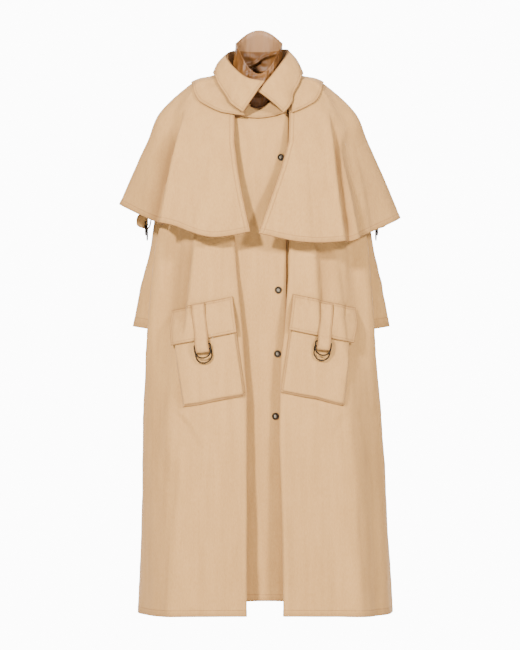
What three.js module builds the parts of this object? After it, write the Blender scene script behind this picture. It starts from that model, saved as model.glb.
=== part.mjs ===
// A long caped coat in sand-coloured gabardine, hollow, hanging from the wearer's shoulders.
// Millimetres. X to the right as seen from the front, Y to the back, Z up.
// The origin is inside the neck opening, at the level where the shoulders carry the coat.

import * as THREE from "three";

// Cloth and hardware sizes
const CLOTH = 1.6;
const SATIN = 1.2;
const SEAM_GAP = 0.3;
const LAYER = 3.4; // from one layer at the shoulders to the next
const SNAP_RADIUS = 8.6;
const SNAP_HEIGHT = 3.2;
const SNAP_SEAT = 0.3;
const ARMHOLE_GAP = 2; // the sleeve starts this far inside the armhole's edge
const STAND_SEAT = 0.9;
const STAND_INSET = 1.9;
const TAB_WIDTH = 31.5;
const RING_WIDTH = 42;
const RING_DEPTH = 35;
const RING_WIRE = 3.4;
const RING_CORNER = 2.2;
const RING_ROUND = 17; // how deep the round end of a ring is

// The sections of the coat's body from the neck edge to the hem. Each is a ring with its height at
// the front, side and back, half its width, and its reach to the front and the back. dent says how
// far the hanging sleeve pushes the side in, to dent_x, and sway moves the ring to the right.
const SECTION_COLUMNS = ["z_front", "z_side", "z_back", "width", "front", "back", "dent", "dent_x", "sway"];
const BODY_SECTIONS = [
  [-56, 36, 46, 68, 66, 62, 0, 120, 0],
  [-67, 22, 26, 104, 88, 84, 0, 120, 0],
  [-84, 4, -4, 148, 108, 102, 0, 120, 1],
  [-114, -28, -44, 184, 124, 118, 0, 120, 2],
  [-160, -95, -110, 190, 134, 128, 0.1, 130, 4],
  [-222, -200, -205, 192, 142, 136, 0.8, 122, 7],
  [-285, -285, -285, 214, 148, 142, 1, 118, 10],
  [-345, -345, -345, 240, 153, 146, 1, 124, 12],
  [-460, -460, -460, 256, 160, 150, 1, 150, 11],
  [-590, -590, -590, 268, 166, 154, 1, 172, 10],
  [-750, -750, -750, 281, 172, 160, 0.4, 205, 12],
  [-900, -900, -900, 290, 178, 166, 0.15, 230, 15],
  [-1080, -1080, -1080, 298, 184, 172, 0.05, 250, 18],
  [-1247, -1258, -1252, 306, 188, 178, 0, 260, 20],
].map((row) => Object.fromEntries(SECTION_COLUMNS.map((name, i) => [name, row[i]])));
const BODY_ANGLES = [0, 28, 58, 90, 112, 132, 152, 180];
const HALF_RING = BODY_ANGLES.length - 1; // the ring place of the centre back
const SECTION_POWER = 0.82; // below 1 the section is fuller than an ellipse
const SIDE_FOLD_Y = -52; // the side fold hangs in front of the sleeve
const DENT_FRONT_Y = -22;
const DENT_BACK_Y = 108;
const WING_X = 188; // the back hangs out behind the sleeve as far as this
const WING_Y = 136;

// Soft drape folds of the body. ring is the place round the section, from 0 at the centre front to 7
// at the centre back, negative on the left. Heights are in mm outwards, from the first section to the last.
const DRAPE_FOLDS = [
  { ring: -1.95, spread: 0.42, first: 6.3, last: 9.6, top: -15, hem: -3 },
  { ring: -1.3, spread: 0.4, first: 6.3, last: 10, top: 7, hem: 2 },
  { ring: 2.05, spread: 0.42, first: 6.3, last: 9.6, top: -14, hem: -3 },
  { ring: 1.45, spread: 0.4, first: 6.3, last: 10, top: 7, hem: 2 },
  { ring: -2.3, spread: 0.5, first: 9.4, last: 13, top: 0, hem: -9 },
  { ring: -1.5, spread: 0.45, first: 10, last: 13, top: 0, hem: 6 },
  { ring: 2.2, spread: 0.5, first: 9.4, last: 13, top: 0, hem: -9 },
  { ring: 1.4, spread: 0.45, first: 10, last: 13, top: 0, hem: 6 },
  { ring: 7, spread: 0.5, first: 4, last: 13, top: 2, hem: 13 },
  { ring: -6.1, spread: 0.5, first: 5, last: 13, top: -3, hem: -14 },
  { ring: 6.1, spread: 0.5, first: 5, last: 13, top: -3, hem: -14 },
  { ring: -4.6, spread: 0.6, first: 10, last: 13, top: 0, hem: -14 },
  { ring: 4.6, spread: 0.6, first: 10, last: 13, top: 0, hem: -14 },
];

// Where the front and back panels end at the side: shoulder seam, armhole, then side seam.
// The places are ring places at body sections.
const SIDE_EDGES = [
  { section: 0, front: 3.3, back: 3.3 },
  { section: 3, front: 3.3, back: 3.3 },
  { section: 3.3, front: 3, back: 3.85 },
  { section: 3.8, front: 2.8, back: 4.45 },
  { section: 4.5, front: 2.78, back: 4.75 },
  { section: 5.2, front: 3.05, back: 4.9 },
  { section: 5.6, front: 3.45, back: 4.8 },
  { section: 5.9, front: 4.35, back: 4.35 },
  { section: 13.5, front: 4.35, back: 4.35 },
];
const ARMHOLE_TOP = 3;
const ARMHOLE_FOOT = 5.9;

// The folds beside the snap panel. left and right are the x of the fold edges, recess is how deep
// the snap panel lies behind them, open is 0 where the pleat is still flat, and placket is the x
// of the snap panel's edge, which the right fold hides.
const PLEAT = [
  { z: -45, left: -30, right: 46, recess: 14, open: 0, placket: 38 },
  { z: -57, left: -44, right: 64, recess: 14, open: 0, placket: 56 },
  { z: -76, left: -60, right: 84, recess: 14, open: 0, placket: 74 },
  { z: -215, left: -60, right: 84, recess: 14, open: 0, placket: 72 },
  { z: -330, left: -54, right: 76, recess: 15, open: 1, placket: 69 },
  { z: -456, left: -45, right: 73, recess: 20, open: 1, placket: 69 },
  { z: -576, left: -33, right: 64, recess: 26, open: 1, placket: 67 },
  { z: -640, left: -29, right: 56, recess: 28, open: 1, placket: 65 },
  { z: -730, left: -22, right: 53, recess: 32, open: 1, placket: 62 },
  { z: -830, left: -22, right: 50.5, recess: 34, open: 1, placket: 60 },
  { z: -1085, left: -22, right: 59.5, recess: 46, open: 1, placket: 67 },
  { z: -1260, left: -22, right: 60.5, recess: 54, open: 1, placket: 69 },
];
const SNAP_PANEL_RISE = 31; // the snap panel's hem hangs this much higher
const UNDERLAP = 62; // how far the right front reaches in behind the snap panel
const UNDERLAP_DEPTH = 5.5; // behind the snap panel where the pleat is open
const UNDERLAP_FLAT = 3.4; // and where it is flat

const SNAPS = [
  { x: 56, z: -178 },
  { x: 52, z: -324 },
  { x: 50, z: -487 },
  { x: 48, z: -635 },
  { x: 43, z: -784 },
];

// The shoulder cape. Its first sections lie on the body's. From the shoulder on, each half ring is
// front centre, ridge (the main fold), hollow behind the ridge, side and back.
const CAPE_SECTIONS = [
  { z_front: -112, z_side: -58, z_back: -60, front: 142, ridge_x: 190, ridge_y: -98, hollow_x: 207,
    hollow_y: -66, side_x: 232, side_y: -6, back_x: 165, back_y: 124, back: 146 },
  { z_front: -170, z_side: -128, z_back: -135, front: 158, ridge_x: 202, ridge_y: -122, hollow_x: 216,
    hollow_y: -86, side_x: 263, side_y: 0, back_x: 185, back_y: 142, back: 164 },
  { z_front: -255, z_side: -207, z_back: -230, front: 174, ridge_x: 218, ridge_y: -140, hollow_x: 230,
    hollow_y: -100, side_x: 299, side_y: 6, back_x: 208, back_y: 158, back: 182 },
  { z_front: -364, z_side: -300, z_back: -340, front: 188, ridge_x: 238, ridge_y: -152, hollow_x: 248,
    hollow_y: -108, side_x: 341, side_y: 10, back_x: 236, back_y: 172, back: 198 },
];
// The cape's hem, as the section where it is cut, and the same for the yoke collar.
const CAPE_HEM = [
  { ring: 0, left: 5.86, right: 5.92 },
  { ring: 1, left: 6.0, right: 6.11 },
  { ring: 2, left: 5.75, right: 6.09 },
  { ring: 3, left: 5.76, right: 6.11 },
  { ring: 4, left: 5.89, right: 6.22 },
  { ring: 5, left: 5.77, right: 6.1 },
  { ring: 6, left: 5.85, right: 6.0 },
  { ring: 7, left: 5.95, right: 5.95 },
];
const YOKE_HEM = [
  { ring: 0, section: 2.1 },
  { ring: 1, section: 2.25 },
  { ring: 2, section: 2.25 },
  { ring: 3, section: 2.15 },
  { ring: 4, section: 2.05 },
  { ring: 5, section: 1.95 },
  { ring: 7, section: 1.9 },
];
const CAPE_EDGES = [
  { z: -50, left: -53, right: 77 },
  { z: -140, left: -53, right: 74 },
  { z: -200, left: -46, right: 57 },
  { z: -268, left: -34, right: 34 },
  { z: -365, left: -14, right: 3 },
];
const CAPE_SEAM = { ring: 3.9, half_gap: 0.007 }; // its seams run in the hollow behind the main fold
const CAPE_CLEAR = [3.4, 5.6, 9]; // how far its first sections lie outside the body's
const CAPE_ANGLES = [0, 25, 48, 62, 70, 92, 132, 180]; // on the shoulders
const YOKE_LEFT_END = -29; // the x of its ends in front
const YOKE_NECK = { section: 1.5, share: 0.55 }; // above this section the ends run together to this share
const YOKE_RIGHT_END = 80;
const YOKE_CENTRE = { left: -48, right: 71, hem: 1.95, clear: 2.4, neck_share: 0.5 };

// The sleeves below the armhole: centre of each ring on the right side, half its size from outside
// to inside and from front to back, and its tilt from level.
const SLEEVE_SECTIONS = [
  { x: 183, y: 23, z: -174, reach: 101, depth: 52, tilt: 68 },
  { x: 196, y: 32, z: -245, reach: 82, depth: 56, tilt: 40 },
  { x: 196, y: 42, z: -322, reach: 66, depth: 60, tilt: 8 },
  { x: 207, y: 50, z: -390, reach: 66, depth: 58, tilt: -5 },
  { x: 225, y: 56, z: -451, reach: 65, depth: 54, tilt: -8 },
  { x: 247, y: 60, z: -582, reach: 65, depth: 52, tilt: 9 },
];

// The fold line and the outer edge of the shirt collar, from the left front round the neck to the
// right front. The outer edge is a ring place and section on the yoke collar.
const COLLAR = [
  { fold: [18, -92, 8], ring: -0.42, section: 2.05 },
  { fold: [-24, -88, 17], ring: -0.95, section: 1.55 },
  { fold: [-57, -56, 46], ring: -1.7, section: 1.12 },
  { fold: [-75, -8, 78], ring: -4.2, section: 0.88 },
  { fold: [-52, 52, 96], ring: -5.9, section: 0.82 },
  { fold: [2, 74, 100], ring: -7, section: 0.8 },
  { fold: [58, 52, 99], ring: -8.1, section: 0.86 },
  { fold: [76, -6, 88], ring: -9.8, section: 0.98 },
  { fold: [57, -56, 54], ring: -12.1, section: 1.25 },
  { fold: [29, -86, 16], ring: -12.8, section: 1.75 },
  { fold: [2, -99, -17], ring: -13.26, section: 2.25 },
];
const COLLAR_CLEAR = 9.5; // from the cape to the collar's outer edge
const COLLAR_ROLL = 5; // the leaf bulges by this much between fold and edge
const COLLAR_LIFT = 0.4; // how much of that points up

// The brown satin funnel inside the collar.
const FUNNEL = { centre_x: 5, waves: 15, scrunch: 4.5, slant: 1.4, back_share: 0.35 };
const FUNNEL_SECTIONS = [
  { z_front: -54, z_side: 33, z_back: 43, width: 64, front: 62, back: 59, scrunch: 0 },
  { z_front: -30, z_side: 52, z_back: 66, width: 60.5, front: 64.5, back: 58, scrunch: 1 },
  { z_front: 2, z_side: 80, z_back: 102, width: 58, front: 64, back: 54, scrunch: 0.8 },
  { z_front: 28, z_side: 108, z_back: 144, width: 56, front: 58, back: 50, scrunch: 0.5 },
];

// The cargo pockets, drawn flat. across and down are in mm from the flap's top outer corner.
const POCKET = { x: 202, z: -538, lean_across: 12, lean_down: 7.5, width: 147, height: 226 };
const POCKET_RIGHT_SHIFT = { x: 27, z: 6 };
const POUCH = { top: 14, foot: 3, height: 8, wall: 11, rise_from: -4, rise_to: 40 };
const FLAP = { height: 80, foot: 3.9, top: -4, risen: 13 };
const TAB = { across: 68 };
// The pocket tab seen from its edge: down its length, over the flap, round the ring bars and back.
const TAB_PATH = [
  { down: -3, out: 6.9 },
  { down: 13, out: 13.1 },
  { down: 40, out: 16.7 },
  { down: 60, out: 17 },
  { down: 77, out: 20.4 },
  { down: 84, out: 25 },
  { down: 98, out: 26.8 },
  { down: 109, out: 23.8 },
  { down: 111.4, out: 18.8 },
  { down: 109, out: 14 },
  { down: 99, out: 12.6 },
  { down: 86, out: 12.6 },
];
const TAB_LOWEST = 8; // the row of the loop's lowest point
const TAB_PLACES = [0, 1, 2, 3, 4, 4.5, 5, 6, 6.5, 7, 7.5, 8, 8.5, 9, 10, 11];
const POCKET_BARS = { under: { down: 104, out: 17.2 }, upper: { down: 92.3, out: 21 } };

// The sleeve tab seen from the front: out from the sleeve's side, round and back to it.
const SLEEVE_TAB = { y: 38 };
const SLEEVE_TAB_PATH = [
  { out: 0.3, z: -280 },
  { out: 15, z: -289 },
  { out: 32, z: -300 },
  { out: 38.5, z: -308 },
  { out: 40, z: -320 },
  { out: 38, z: -329 },
  { out: 28, z: -334 },
  { out: 14, z: -336.5 },
  { out: 8, z: -333 },
  { out: 5, z: -324 },
  { out: 3.2, z: -312 },
];
const SLEEVE_TAB_PLACES = [0, 1, 2, 2.5, 3, 3.5, 4, 4.5, 5, 5.5, 6, 7, 7.5, 8, 8.5, 9, 10];
const SLEEVE_BARS = { under: { out: 13.5, z: -332.6 }, upper: { out: 17.3, z: -320 } };

const COLOURS = {
  gabardine: new THREE.MeshStandardMaterial({ color: 0xdcbe9e, roughness: 0.85, metalness: 0 }),
  satin: new THREE.MeshStandardMaterial({ color: 0x82552d, roughness: 0.35, metalness: 0 }),
  gunmetal: new THREE.MeshStandardMaterial({ color: 0x4a4540, roughness: 0.35, metalness: 1 }),
  snap: new THREE.MeshStandardMaterial({ color: 0x8d8378, roughness: 0.4, metalness: 1 }),
};

// Helpers

const steps = (count) => Array.from({ length: count + 1 }, (_, i) => i / count);
const radians = THREE.MathUtils.degToRad;
const mix = THREE.MathUtils.lerp;
const smooth = (from, to, value) => THREE.MathUtils.smoothstep(value, from, to);

// A value at a fractional place in a list, on a smooth curve through the list.
function spline(p0, p1, p2, p3, f) {
  const bend = 3 * (p1 - p2) + p3 - p0;
  return p1 + 0.5 * f * (p2 - p0 + f * (2 * p0 - 5 * p1 + 4 * p2 - p3 + f * bend));
}

function along(list, place, read = (value) => value) {
  const last = list.length - 1;
  const i = Math.min(Math.max(Math.floor(place), 0), last - 1);
  const p1 = read(list[i]);
  const p2 = read(list[i + 1]);
  const p0 = i > 0 ? read(list[i - 1]) : 2 * p1 - p2;
  const p3 = i + 2 <= last ? read(list[i + 2]) : 2 * p2 - p1;
  return spline(p0, p1, p2, p3, place - i);
}

function pointAlong(points, place) {
  return new THREE.Vector3(
    along(points, place, (p) => p.x),
    along(points, place, (p) => p.y),
    along(points, place, (p) => p.z),
  );
}

// A column of a table at a value of its key column, straight between rows.
function lookUp(table, key, value, column) {
  const rising = table[table.length - 1][key] > table[0][key];
  const after = table.findIndex((row) => (rising ? row[key] >= value : row[key] <= value));
  if (after === 0) return table[0][column];
  if (after < 0) return table[table.length - 1][column];
  const a = table[after - 1];
  const b = table[after];
  return mix(a[column], b[column], (value - a[key]) / (b[key] - a[key]));
}

// A closed surface through half rings: place (ring, section), ring negative on the left.
function ringSurface(halfRings, sway) {
  const last = halfRings[0].length - 1;
  const mirrored = (p) => new THREE.Vector3(-p.x, p.y, p.z);
  const at = (half, i) => (i < 0 ? mirrored(half[-i]) : i > last ? mirrored(half[2 * last - i]) : half[i]);
  function onRing(half, place) {
    const i = Math.min(Math.floor(place), last - 1);
    const four = [at(half, i - 1), half[i], half[i + 1], at(half, i + 2)];
    const f = place - i;
    return new THREE.Vector3(
      ...["x", "y", "z"].map((axis) => spline(...four.map((p) => p[axis]), f)),
    );
  }
  return (ring, section) => {
    const place = Math.min(Math.abs(ring), 2 * last - Math.abs(ring));
    const flipped = ring < 0 !== Math.abs(ring) > last;
    const i = Math.min(Math.max(Math.floor(section), 0), halfRings.length - 2);
    const near = [-1, 0, 1, 2].map((k) => {
      const row = Math.min(Math.max(i + k, 0), halfRings.length - 1);
      return onRing(halfRings[row], place);
    });
    if (i === 0) near[0].copy(near[1]).multiplyScalar(2).sub(near[2]);
    if (i === halfRings.length - 2) near[3].copy(near[2]).multiplyScalar(2).sub(near[1]);
    const f = section - i;
    const point = new THREE.Vector3(
      ...["x", "y", "z"].map((axis) => spline(...near.map((p) => p[axis]), f)),
    );
    if (flipped) point.x = -point.x;
    point.x += sway(section);
    return point;
  };
}

// The outward normal of a surface of two places.
function normalOf(surface, u, v, du = 1e-3, dv = 1e-3) {
  const across = surface(u + du, v).sub(surface(u - du, v));
  const down = surface(u, v + dv).sub(surface(u, v - dv));
  return across.cross(down).normalize();
}

// The surface moved out along its normal.
const movedOut = (surface, distance) => (u, v) =>
  surface(u, v).addScaledVector(normalOf(surface, u, v), distance);

// The ring place where a surface has an x, between two ring places.
function ringAtX(surface, section, x, low, high) {
  for (let step = 0; step < 40; step += 1) {
    const middle = (low + high) / 2;
    if (surface(middle, section).x < x) low = middle;
    else high = middle;
  }
  return (low + high) / 2;
}

// A closed wall whose outer side is the surface and whose inner side lies a thickness behind it.
// us and vs are the places of its columns and rows. A closed wall joins its last column to its first.
function wall(surface, us, vs, thickness, closed = false) {
  const columns = us.length;
  const outer = [];
  const inner = [];
  for (const v of vs) {
    for (const u of us) {
      const point = surface(u, v);
      outer.push(point);
      inner.push(point.clone().addScaledVector(normalOf(surface, u, v), -thickness));
    }
  }
  const positions = [...outer, ...inner].flatMap((p) => [p.x, p.y, p.z]);
  const back = outer.length;
  const faces = [];
  const quad = (a, b, c, d) => faces.push(a, b, c, a, c, d);
  const spans = closed ? columns : columns - 1;
  for (let row = 0; row < vs.length - 1; row += 1) {
    for (let column = 0; column < spans; column += 1) {
      const a = row * columns + column;
      const b = row * columns + ((column + 1) % columns);
      const c = b + columns;
      const d = a + columns;
      quad(a, b, c, d);
      quad(back + a, back + d, back + c, back + b);
    }
  }
  const foot = (vs.length - 1) * columns;
  for (let column = 0; column < spans; column += 1) {
    const next = (column + 1) % columns;
    quad(back + column, back + next, next, column);
    quad(foot + column, foot + next, back + foot + next, back + foot + column);
  }
  if (!closed) {
    for (let row = 0; row < vs.length - 1; row += 1) {
      const a = row * columns;
      const b = a + columns;
      quad(back + a, a, b, back + b);
      const top = a + columns - 1;
      const low = b + columns - 1;
      quad(back + top, back + low, low, top);
    }
  }
  return solidFrom(positions, faces);
}

// A geometry whose faces point out.
function solidFrom(positions, faces) {
  const geometry = new THREE.BufferGeometry();
  const [a, b, c] = [new THREE.Vector3(), new THREE.Vector3(), new THREE.Vector3()];
  let volume = 0;
  for (let i = 0; i < faces.length; i += 3) {
    a.fromArray(positions, 3 * faces[i]);
    b.fromArray(positions, 3 * faces[i + 1]);
    c.fromArray(positions, 3 * faces[i + 2]);
    volume += a.dot(b.cross(c));
  }
  if (volume < 0) faces.reverse();
  geometry.setAttribute("position", new THREE.Float32BufferAttribute(positions, 3));
  geometry.setIndex(faces);
  geometry.computeVertexNormals();
  return geometry;
}

const COLLAR_FOLD = COLLAR.map((row) => new THREE.Vector3(...row.fold));
// The height of each body section, for finding the section at a height.
const SECTION_HEIGHTS = steps(130).map((share) => {
  const section = share * (BODY_SECTIONS.length - 1);
  return { section, z: along(BODY_SECTIONS, section, (row) => row.z_front) };
});

const coat = new THREE.Group();

function add(name, geometry, material) {
  const mesh = new THREE.Mesh(geometry, material);
  mesh.name = name;
  coat.add(mesh);
  return mesh;
}

// Body surface

function bodyHalfRing(row, angles = BODY_ANGLES) {
  const fuller = (value) => Math.abs(value) ** SECTION_POWER;
  return angles.map((degrees, i) => {
    const angle = radians(degrees);
    const sideways = Math.sin(angle) ** 2;
    const inFront = degrees < 90;
    const point = new THREE.Vector3(
      row.width * fuller(Math.sin(angle)),
      inFront ? -row.front * fuller(Math.cos(angle)) : row.back * fuller(Math.cos(angle)),
      mix(inFront ? row.z_front : row.z_back, row.z_side, sideways),
    );
    const pushed = {
      3: [row.width, SIDE_FOLD_Y],
      4: [row.dent_x, DENT_FRONT_Y],
      5: [row.dent_x, DENT_BACK_Y],
      6: [Math.max(WING_X, point.x), WING_Y],
    }[i];
    if (pushed) {
      point.x = mix(point.x, pushed[0], row.dent);
      point.y = mix(point.y, pushed[1], row.dent);
    }
    return point;
  });
}

const plainBody = ringSurface(BODY_SECTIONS.map((row) => bodyHalfRing(row)), (section) =>
  along(BODY_SECTIONS, section, (row) => row.sway),
);

function bodySurface(ringPlace, section) {
  const ring = ringPlace > HALF_RING ? ringPlace - 2 * HALF_RING : ringPlace;
  const point = plainBody(ring, section);
  const angle = radians(along(BODY_ANGLES, Math.abs(ring)));
  const out = new THREE.Vector3(Math.sign(ring) * Math.sin(angle), -Math.cos(angle), 0);
  for (const fold of DRAPE_FOLDS) {
    const turns = [ring, ring - 2 * HALF_RING, ring + 2 * HALF_RING];
    const away = Math.min(...turns.map((place) => Math.abs(place - fold.ring))) / fold.spread;
    if (away >= 1) continue;
    const reached = smooth(fold.first, Math.min(fold.first + 1.2, fold.last), section);
    const down = (section - fold.first) / (fold.last - fold.first);
    const height = mix(fold.top, fold.hem, Math.min(Math.max(down, 0), 1)) * reached;
    point.addScaledVector(out, height * Math.cos((away * Math.PI) / 2) ** 2);
  }
  return point;
}

// The side edge of a panel, half a seam gap from the seam.
function sideEdge(section, panel, side) {
  const place = side * lookUp(SIDE_EDGES, "section", section, panel);
  const speed = bodySurface(place + 0.01, section).distanceTo(bodySurface(place - 0.01, section)) / 0.02;
  const inwards = panel === "front" ? -side : side;
  return place + (inwards * SEAM_GAP) / 2 / speed;
}

// Back

// The rows of the back and the fronts are the same, so that their seams fit.
const BODY_ROWS = [
  0, 0.5, 1, 1.5, 2, 2.5, 3, 3.3, 3.8, 4.5, 5.2, 5.6,
  5.9, 6.4, 7, 7.6, 8.3, 9, 9.6, 10.1, 10.6, 11.2, 12.1, 13,
];

function backSurface(across, section) {
  const left = sideEdge(section, "back", -1) + 2 * HALF_RING;
  const right = sideEdge(section, "back", 1);
  return bodySurface(mix(left, right, across), section);
}
add("back", wall(backSurface, steps(22), BODY_ROWS, CLOTH), COLOURS.gabardine);

// Fronts, with the deep folds beside the snap panel

const OUTER_COLUMNS = 9;

// Distance past the fold edge towards the centre, and depth as a share of the recess plus a length.
const LEFT_PLEAT = [
  { in: -9, share: 0, deep: 0.3, flat: -9, under: 0 },
  { in: -1.5, share: 0, deep: 2.6, flat: 0, under: 0 },
  { in: -1.5, share: 0, deep: 8, flat: 8, under: 0 },
  { in: -11, share: 0.62, deep: 3, flat: 16, under: 0 },
  { in: -11, share: 1, deep: -2, flat: 24, under: 0 },
  { in: 2, share: 1, deep: 0, flat: 34, under: 0 },
];
const RIGHT_PLEAT = [
  { in: -9, share: 0, deep: 0.3, flat: -9, under: 0 },
  { in: -1.5, share: 0, deep: 2.6, flat: 0, under: 0.2 },
  { in: -1.5, share: 0, deep: 8, flat: 4, under: 1.6 },
  { in: -19, share: 0.62, deep: 3, flat: 8, under: 3 },
  { in: -22, share: 1, deep: 1.5, flat: 14, under: 3.4 },
  { in: -9, share: 1, deep: UNDERLAP_DEPTH, flat: 22, under: 3.4 },
];

function frontPath(side, section) {
  const inwards = -side;
  const edge = sideEdge(section, "front", side);
  const z = bodySurface(side * 0.7, section).z;
  const pleat = (column) => lookUp(PLEAT, "z", z, column);
  const fold = pleat(side < 0 ? "left" : "right");
  const open = pleat("open");
  const atX = (x, under = 0) => {
    const ring = ringAtX(bodySurface, section, x, -2.3, 2.3);
    return bodySurface(ring, section).addScaledVector(normalOf(bodySurface, ring, section), under);
  };
  const atFold = atX(fold);
  const panelY = bodySurface(0, section).y + pleat("recess");
  const recess = panelY - atFold.y;
  const table = side < 0 ? LEFT_PLEAT : RIGHT_PLEAT;
  const points = [];
  const start = ringAtX(bodySurface, section, fold - inwards * 24, -3, 3);
  for (let i = 0; i < OUTER_COLUMNS; i += 1) {
    points.push(bodySurface(mix(edge, start, i / (OUTER_COLUMNS - 1)), section));
  }
  for (const step of table) {
    const flat = atX(fold + inwards * step.flat, step.under);
    const folded = new THREE.Vector3(
      fold + inwards * step.in,
      atFold.y + step.share * recess + step.deep,
      flat.z,
    );
    points.push(flat.lerp(folded, open));
  }
  const end = side < 0 ? pleat("placket") : fold - UNDERLAP;
  const begin = fold + inwards * table[table.length - 1].in;
  const beginFlat = fold + inwards * table[table.length - 1].flat;
  for (const share of [0.25, 0.62, 1]) {
    const flat = atX(mix(beginFlat, end, share), side < 0 ? 0 : UNDERLAP_FLAT);
    const folded = new THREE.Vector3(
      mix(begin, end, share),
      panelY + (side < 0 ? 0 : UNDERLAP_DEPTH),
      flat.z,
    );
    points.push(flat.lerp(folded, open));
  }
  return { edge, start, points };
}

const HEM_SECTION_LENGTH = 167; // mm between the last two sections

function frontSurface(side) {
  const paths = new Map();
  return (place, down) => {
    const inPanel = smooth(OUTER_COLUMNS + 2, OUTER_COLUMNS + 4, place);
    const section = down - (SNAP_PANEL_RISE / HEM_SECTION_LENGTH) * inPanel * smooth(10, 13, down);
    if (!paths.has(section)) paths.set(section, frontPath(side, section));
    const { edge, start, points } = paths.get(section);
    if (place < OUTER_COLUMNS - 2) {
      return bodySurface(mix(edge, start, place / (OUTER_COLUMNS - 1)), section);
    }
    return pointAlong(points, place);
  };
}

const FRONT_COLUMNS = [0, 1, 2, 3, 4, 5, 6, 7, 8, 8.6, 9, 9.5, 10, 10.5, 11, 12, 13, 13.5, 14, 15, 16, 17];
const leftFront = frontSurface(-1);
const rightFront = frontSurface(1);
add("front_left", wall(leftFront, FRONT_COLUMNS, BODY_ROWS, -CLOTH), COLOURS.gabardine);
add("front_right", wall(rightFront, FRONT_COLUMNS, BODY_ROWS, CLOTH), COLOURS.gabardine);

// Shoulder cape

const grown = (row, by) => ({
  ...row,
  z_front: row.z_front + 0.8 * by,
  z_side: row.z_side + 0.8 * by,
  z_back: row.z_back + 0.8 * by,
  width: row.width + by,
  front: row.front + by,
  back: row.back + by,
});

function capeHalfRing(row) {
  const shoulder = mix(row.z_front, row.z_side, 0.15);
  const hollow = mix(row.z_front, row.z_side, 0.45);
  return [
    new THREE.Vector3(0, -row.front, row.z_front),
    new THREE.Vector3(0.45 * row.ridge_x, 1 - row.front, row.z_front),
    new THREE.Vector3(0.84 * row.ridge_x, mix(-row.front, row.ridge_y, 0.5), row.z_front),
    new THREE.Vector3(row.ridge_x, row.ridge_y, shoulder),
    new THREE.Vector3(row.hollow_x, row.hollow_y, hollow),
    new THREE.Vector3(row.side_x, row.side_y, row.z_side),
    new THREE.Vector3(row.back_x, row.back_y, mix(row.z_side, row.z_back, 0.6)),
    new THREE.Vector3(0, row.back, row.z_back),
  ];
}

const capeRings = [
  ...CAPE_CLEAR.map((clear, i) => bodyHalfRing(grown(BODY_SECTIONS[i], clear), CAPE_ANGLES)),
  ...CAPE_SECTIONS.map(capeHalfRing),
];
const cape = ringSurface(capeRings, (section) => Math.min(section, 1));

// Rows are sections, and the last ones spread down to the hem.
const CAPE_ROWS = [0, 0.5, 1, 1.5, 2, 2.5, 3.1, 3.9, 4.7, 5.4, 6];
const CAPE_EVEN = 4.7;
const CAPE_LAST = CAPE_ROWS[CAPE_ROWS.length - 1];

function capeSection(ring, down) {
  if (down <= CAPE_EVEN) return down;
  return mix(CAPE_EVEN, capeHem(ring), (down - CAPE_EVEN) / (CAPE_LAST - CAPE_EVEN));
}
const backTurn = (ring) => (ring > HALF_RING ? ring - 2 * HALF_RING : ring);

function capeHem(ring) {
  const turned = backTurn(ring);
  return lookUp(CAPE_HEM, "ring", Math.abs(turned), turned < 0 ? "left" : "right");
}

function capeFront(side) {
  const edgeColumn = side < 0 ? "left" : "right";
  return (across, down) => {
    const guess = capeSection(side * 0.4, down);
    const edgeX = lookUp(CAPE_EDGES, "z", cape(side * 0.4, guess).z, edgeColumn);
    const edge = ringAtX(cape, guess, edgeX, -2.5, 2.5);
    const seam = side * (CAPE_SEAM.ring - CAPE_SEAM.half_gap);
    const ring = mix(seam, edge, across);
    return cape(ring, capeSection(ring, down));
  };
}

function capeBack(across, down) {
  const inset = CAPE_SEAM.ring + CAPE_SEAM.half_gap;
  const ring = mix(2 * HALF_RING - inset, inset, across);
  return cape(ring, capeSection(ring, down));
}

const CAPE_COLUMNS = [0, 0.08, 0.16, 0.23, 0.3, 0.38, 0.46, 0.55, 0.66, 0.77, 0.88, 1];
add("cape_left", wall(capeFront(-1), CAPE_COLUMNS, CAPE_ROWS, -CLOTH), COLOURS.gabardine);
add("cape_right", wall(capeFront(1), CAPE_COLUMNS, CAPE_ROWS, CLOTH), COLOURS.gabardine);
add("cape_back", wall(capeBack, steps(16), CAPE_ROWS, CLOTH), COLOURS.gabardine);

// Round yoke collar, on the cape

const yoke = movedOut(cape, -LAYER);
const YOKE_ROWS = [0, 0.5, 1, 1.5, 1.8, 2.1];
const YOKE_EVEN = 1.5;
const YOKE_LAST = YOKE_ROWS[YOKE_ROWS.length - 1];

function yokeSection(ring, down) {
  if (down <= YOKE_EVEN) return down;
  const hem = lookUp(YOKE_HEM, "ring", Math.abs(ring), "section");
  return mix(YOKE_EVEN, hem, (down - YOKE_EVEN) / (YOKE_LAST - YOKE_EVEN));
}

function yokeHalf(side) {
  const endX = side < 0 ? YOKE_LEFT_END : YOKE_RIGHT_END;
  return (across, down) => {
    const narrow = mix(YOKE_NECK.share, 1, Math.min(down / YOKE_NECK.section, 1));
    const end = ringAtX(cape, down, endX * narrow, -3, 3);
    const ring = mix(side * (HALF_RING - SEAM_GAP / 2 / 50), end, across);
    return yoke(ring, yokeSection(ring, down));
  };
}
add("yoke_left", wall(yokeHalf(-1), steps(14), YOKE_ROWS, -CLOTH), COLOURS.gabardine);
add("yoke_right", wall(yokeHalf(1), steps(13), YOKE_ROWS, CLOTH), COLOURS.gabardine);

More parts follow.
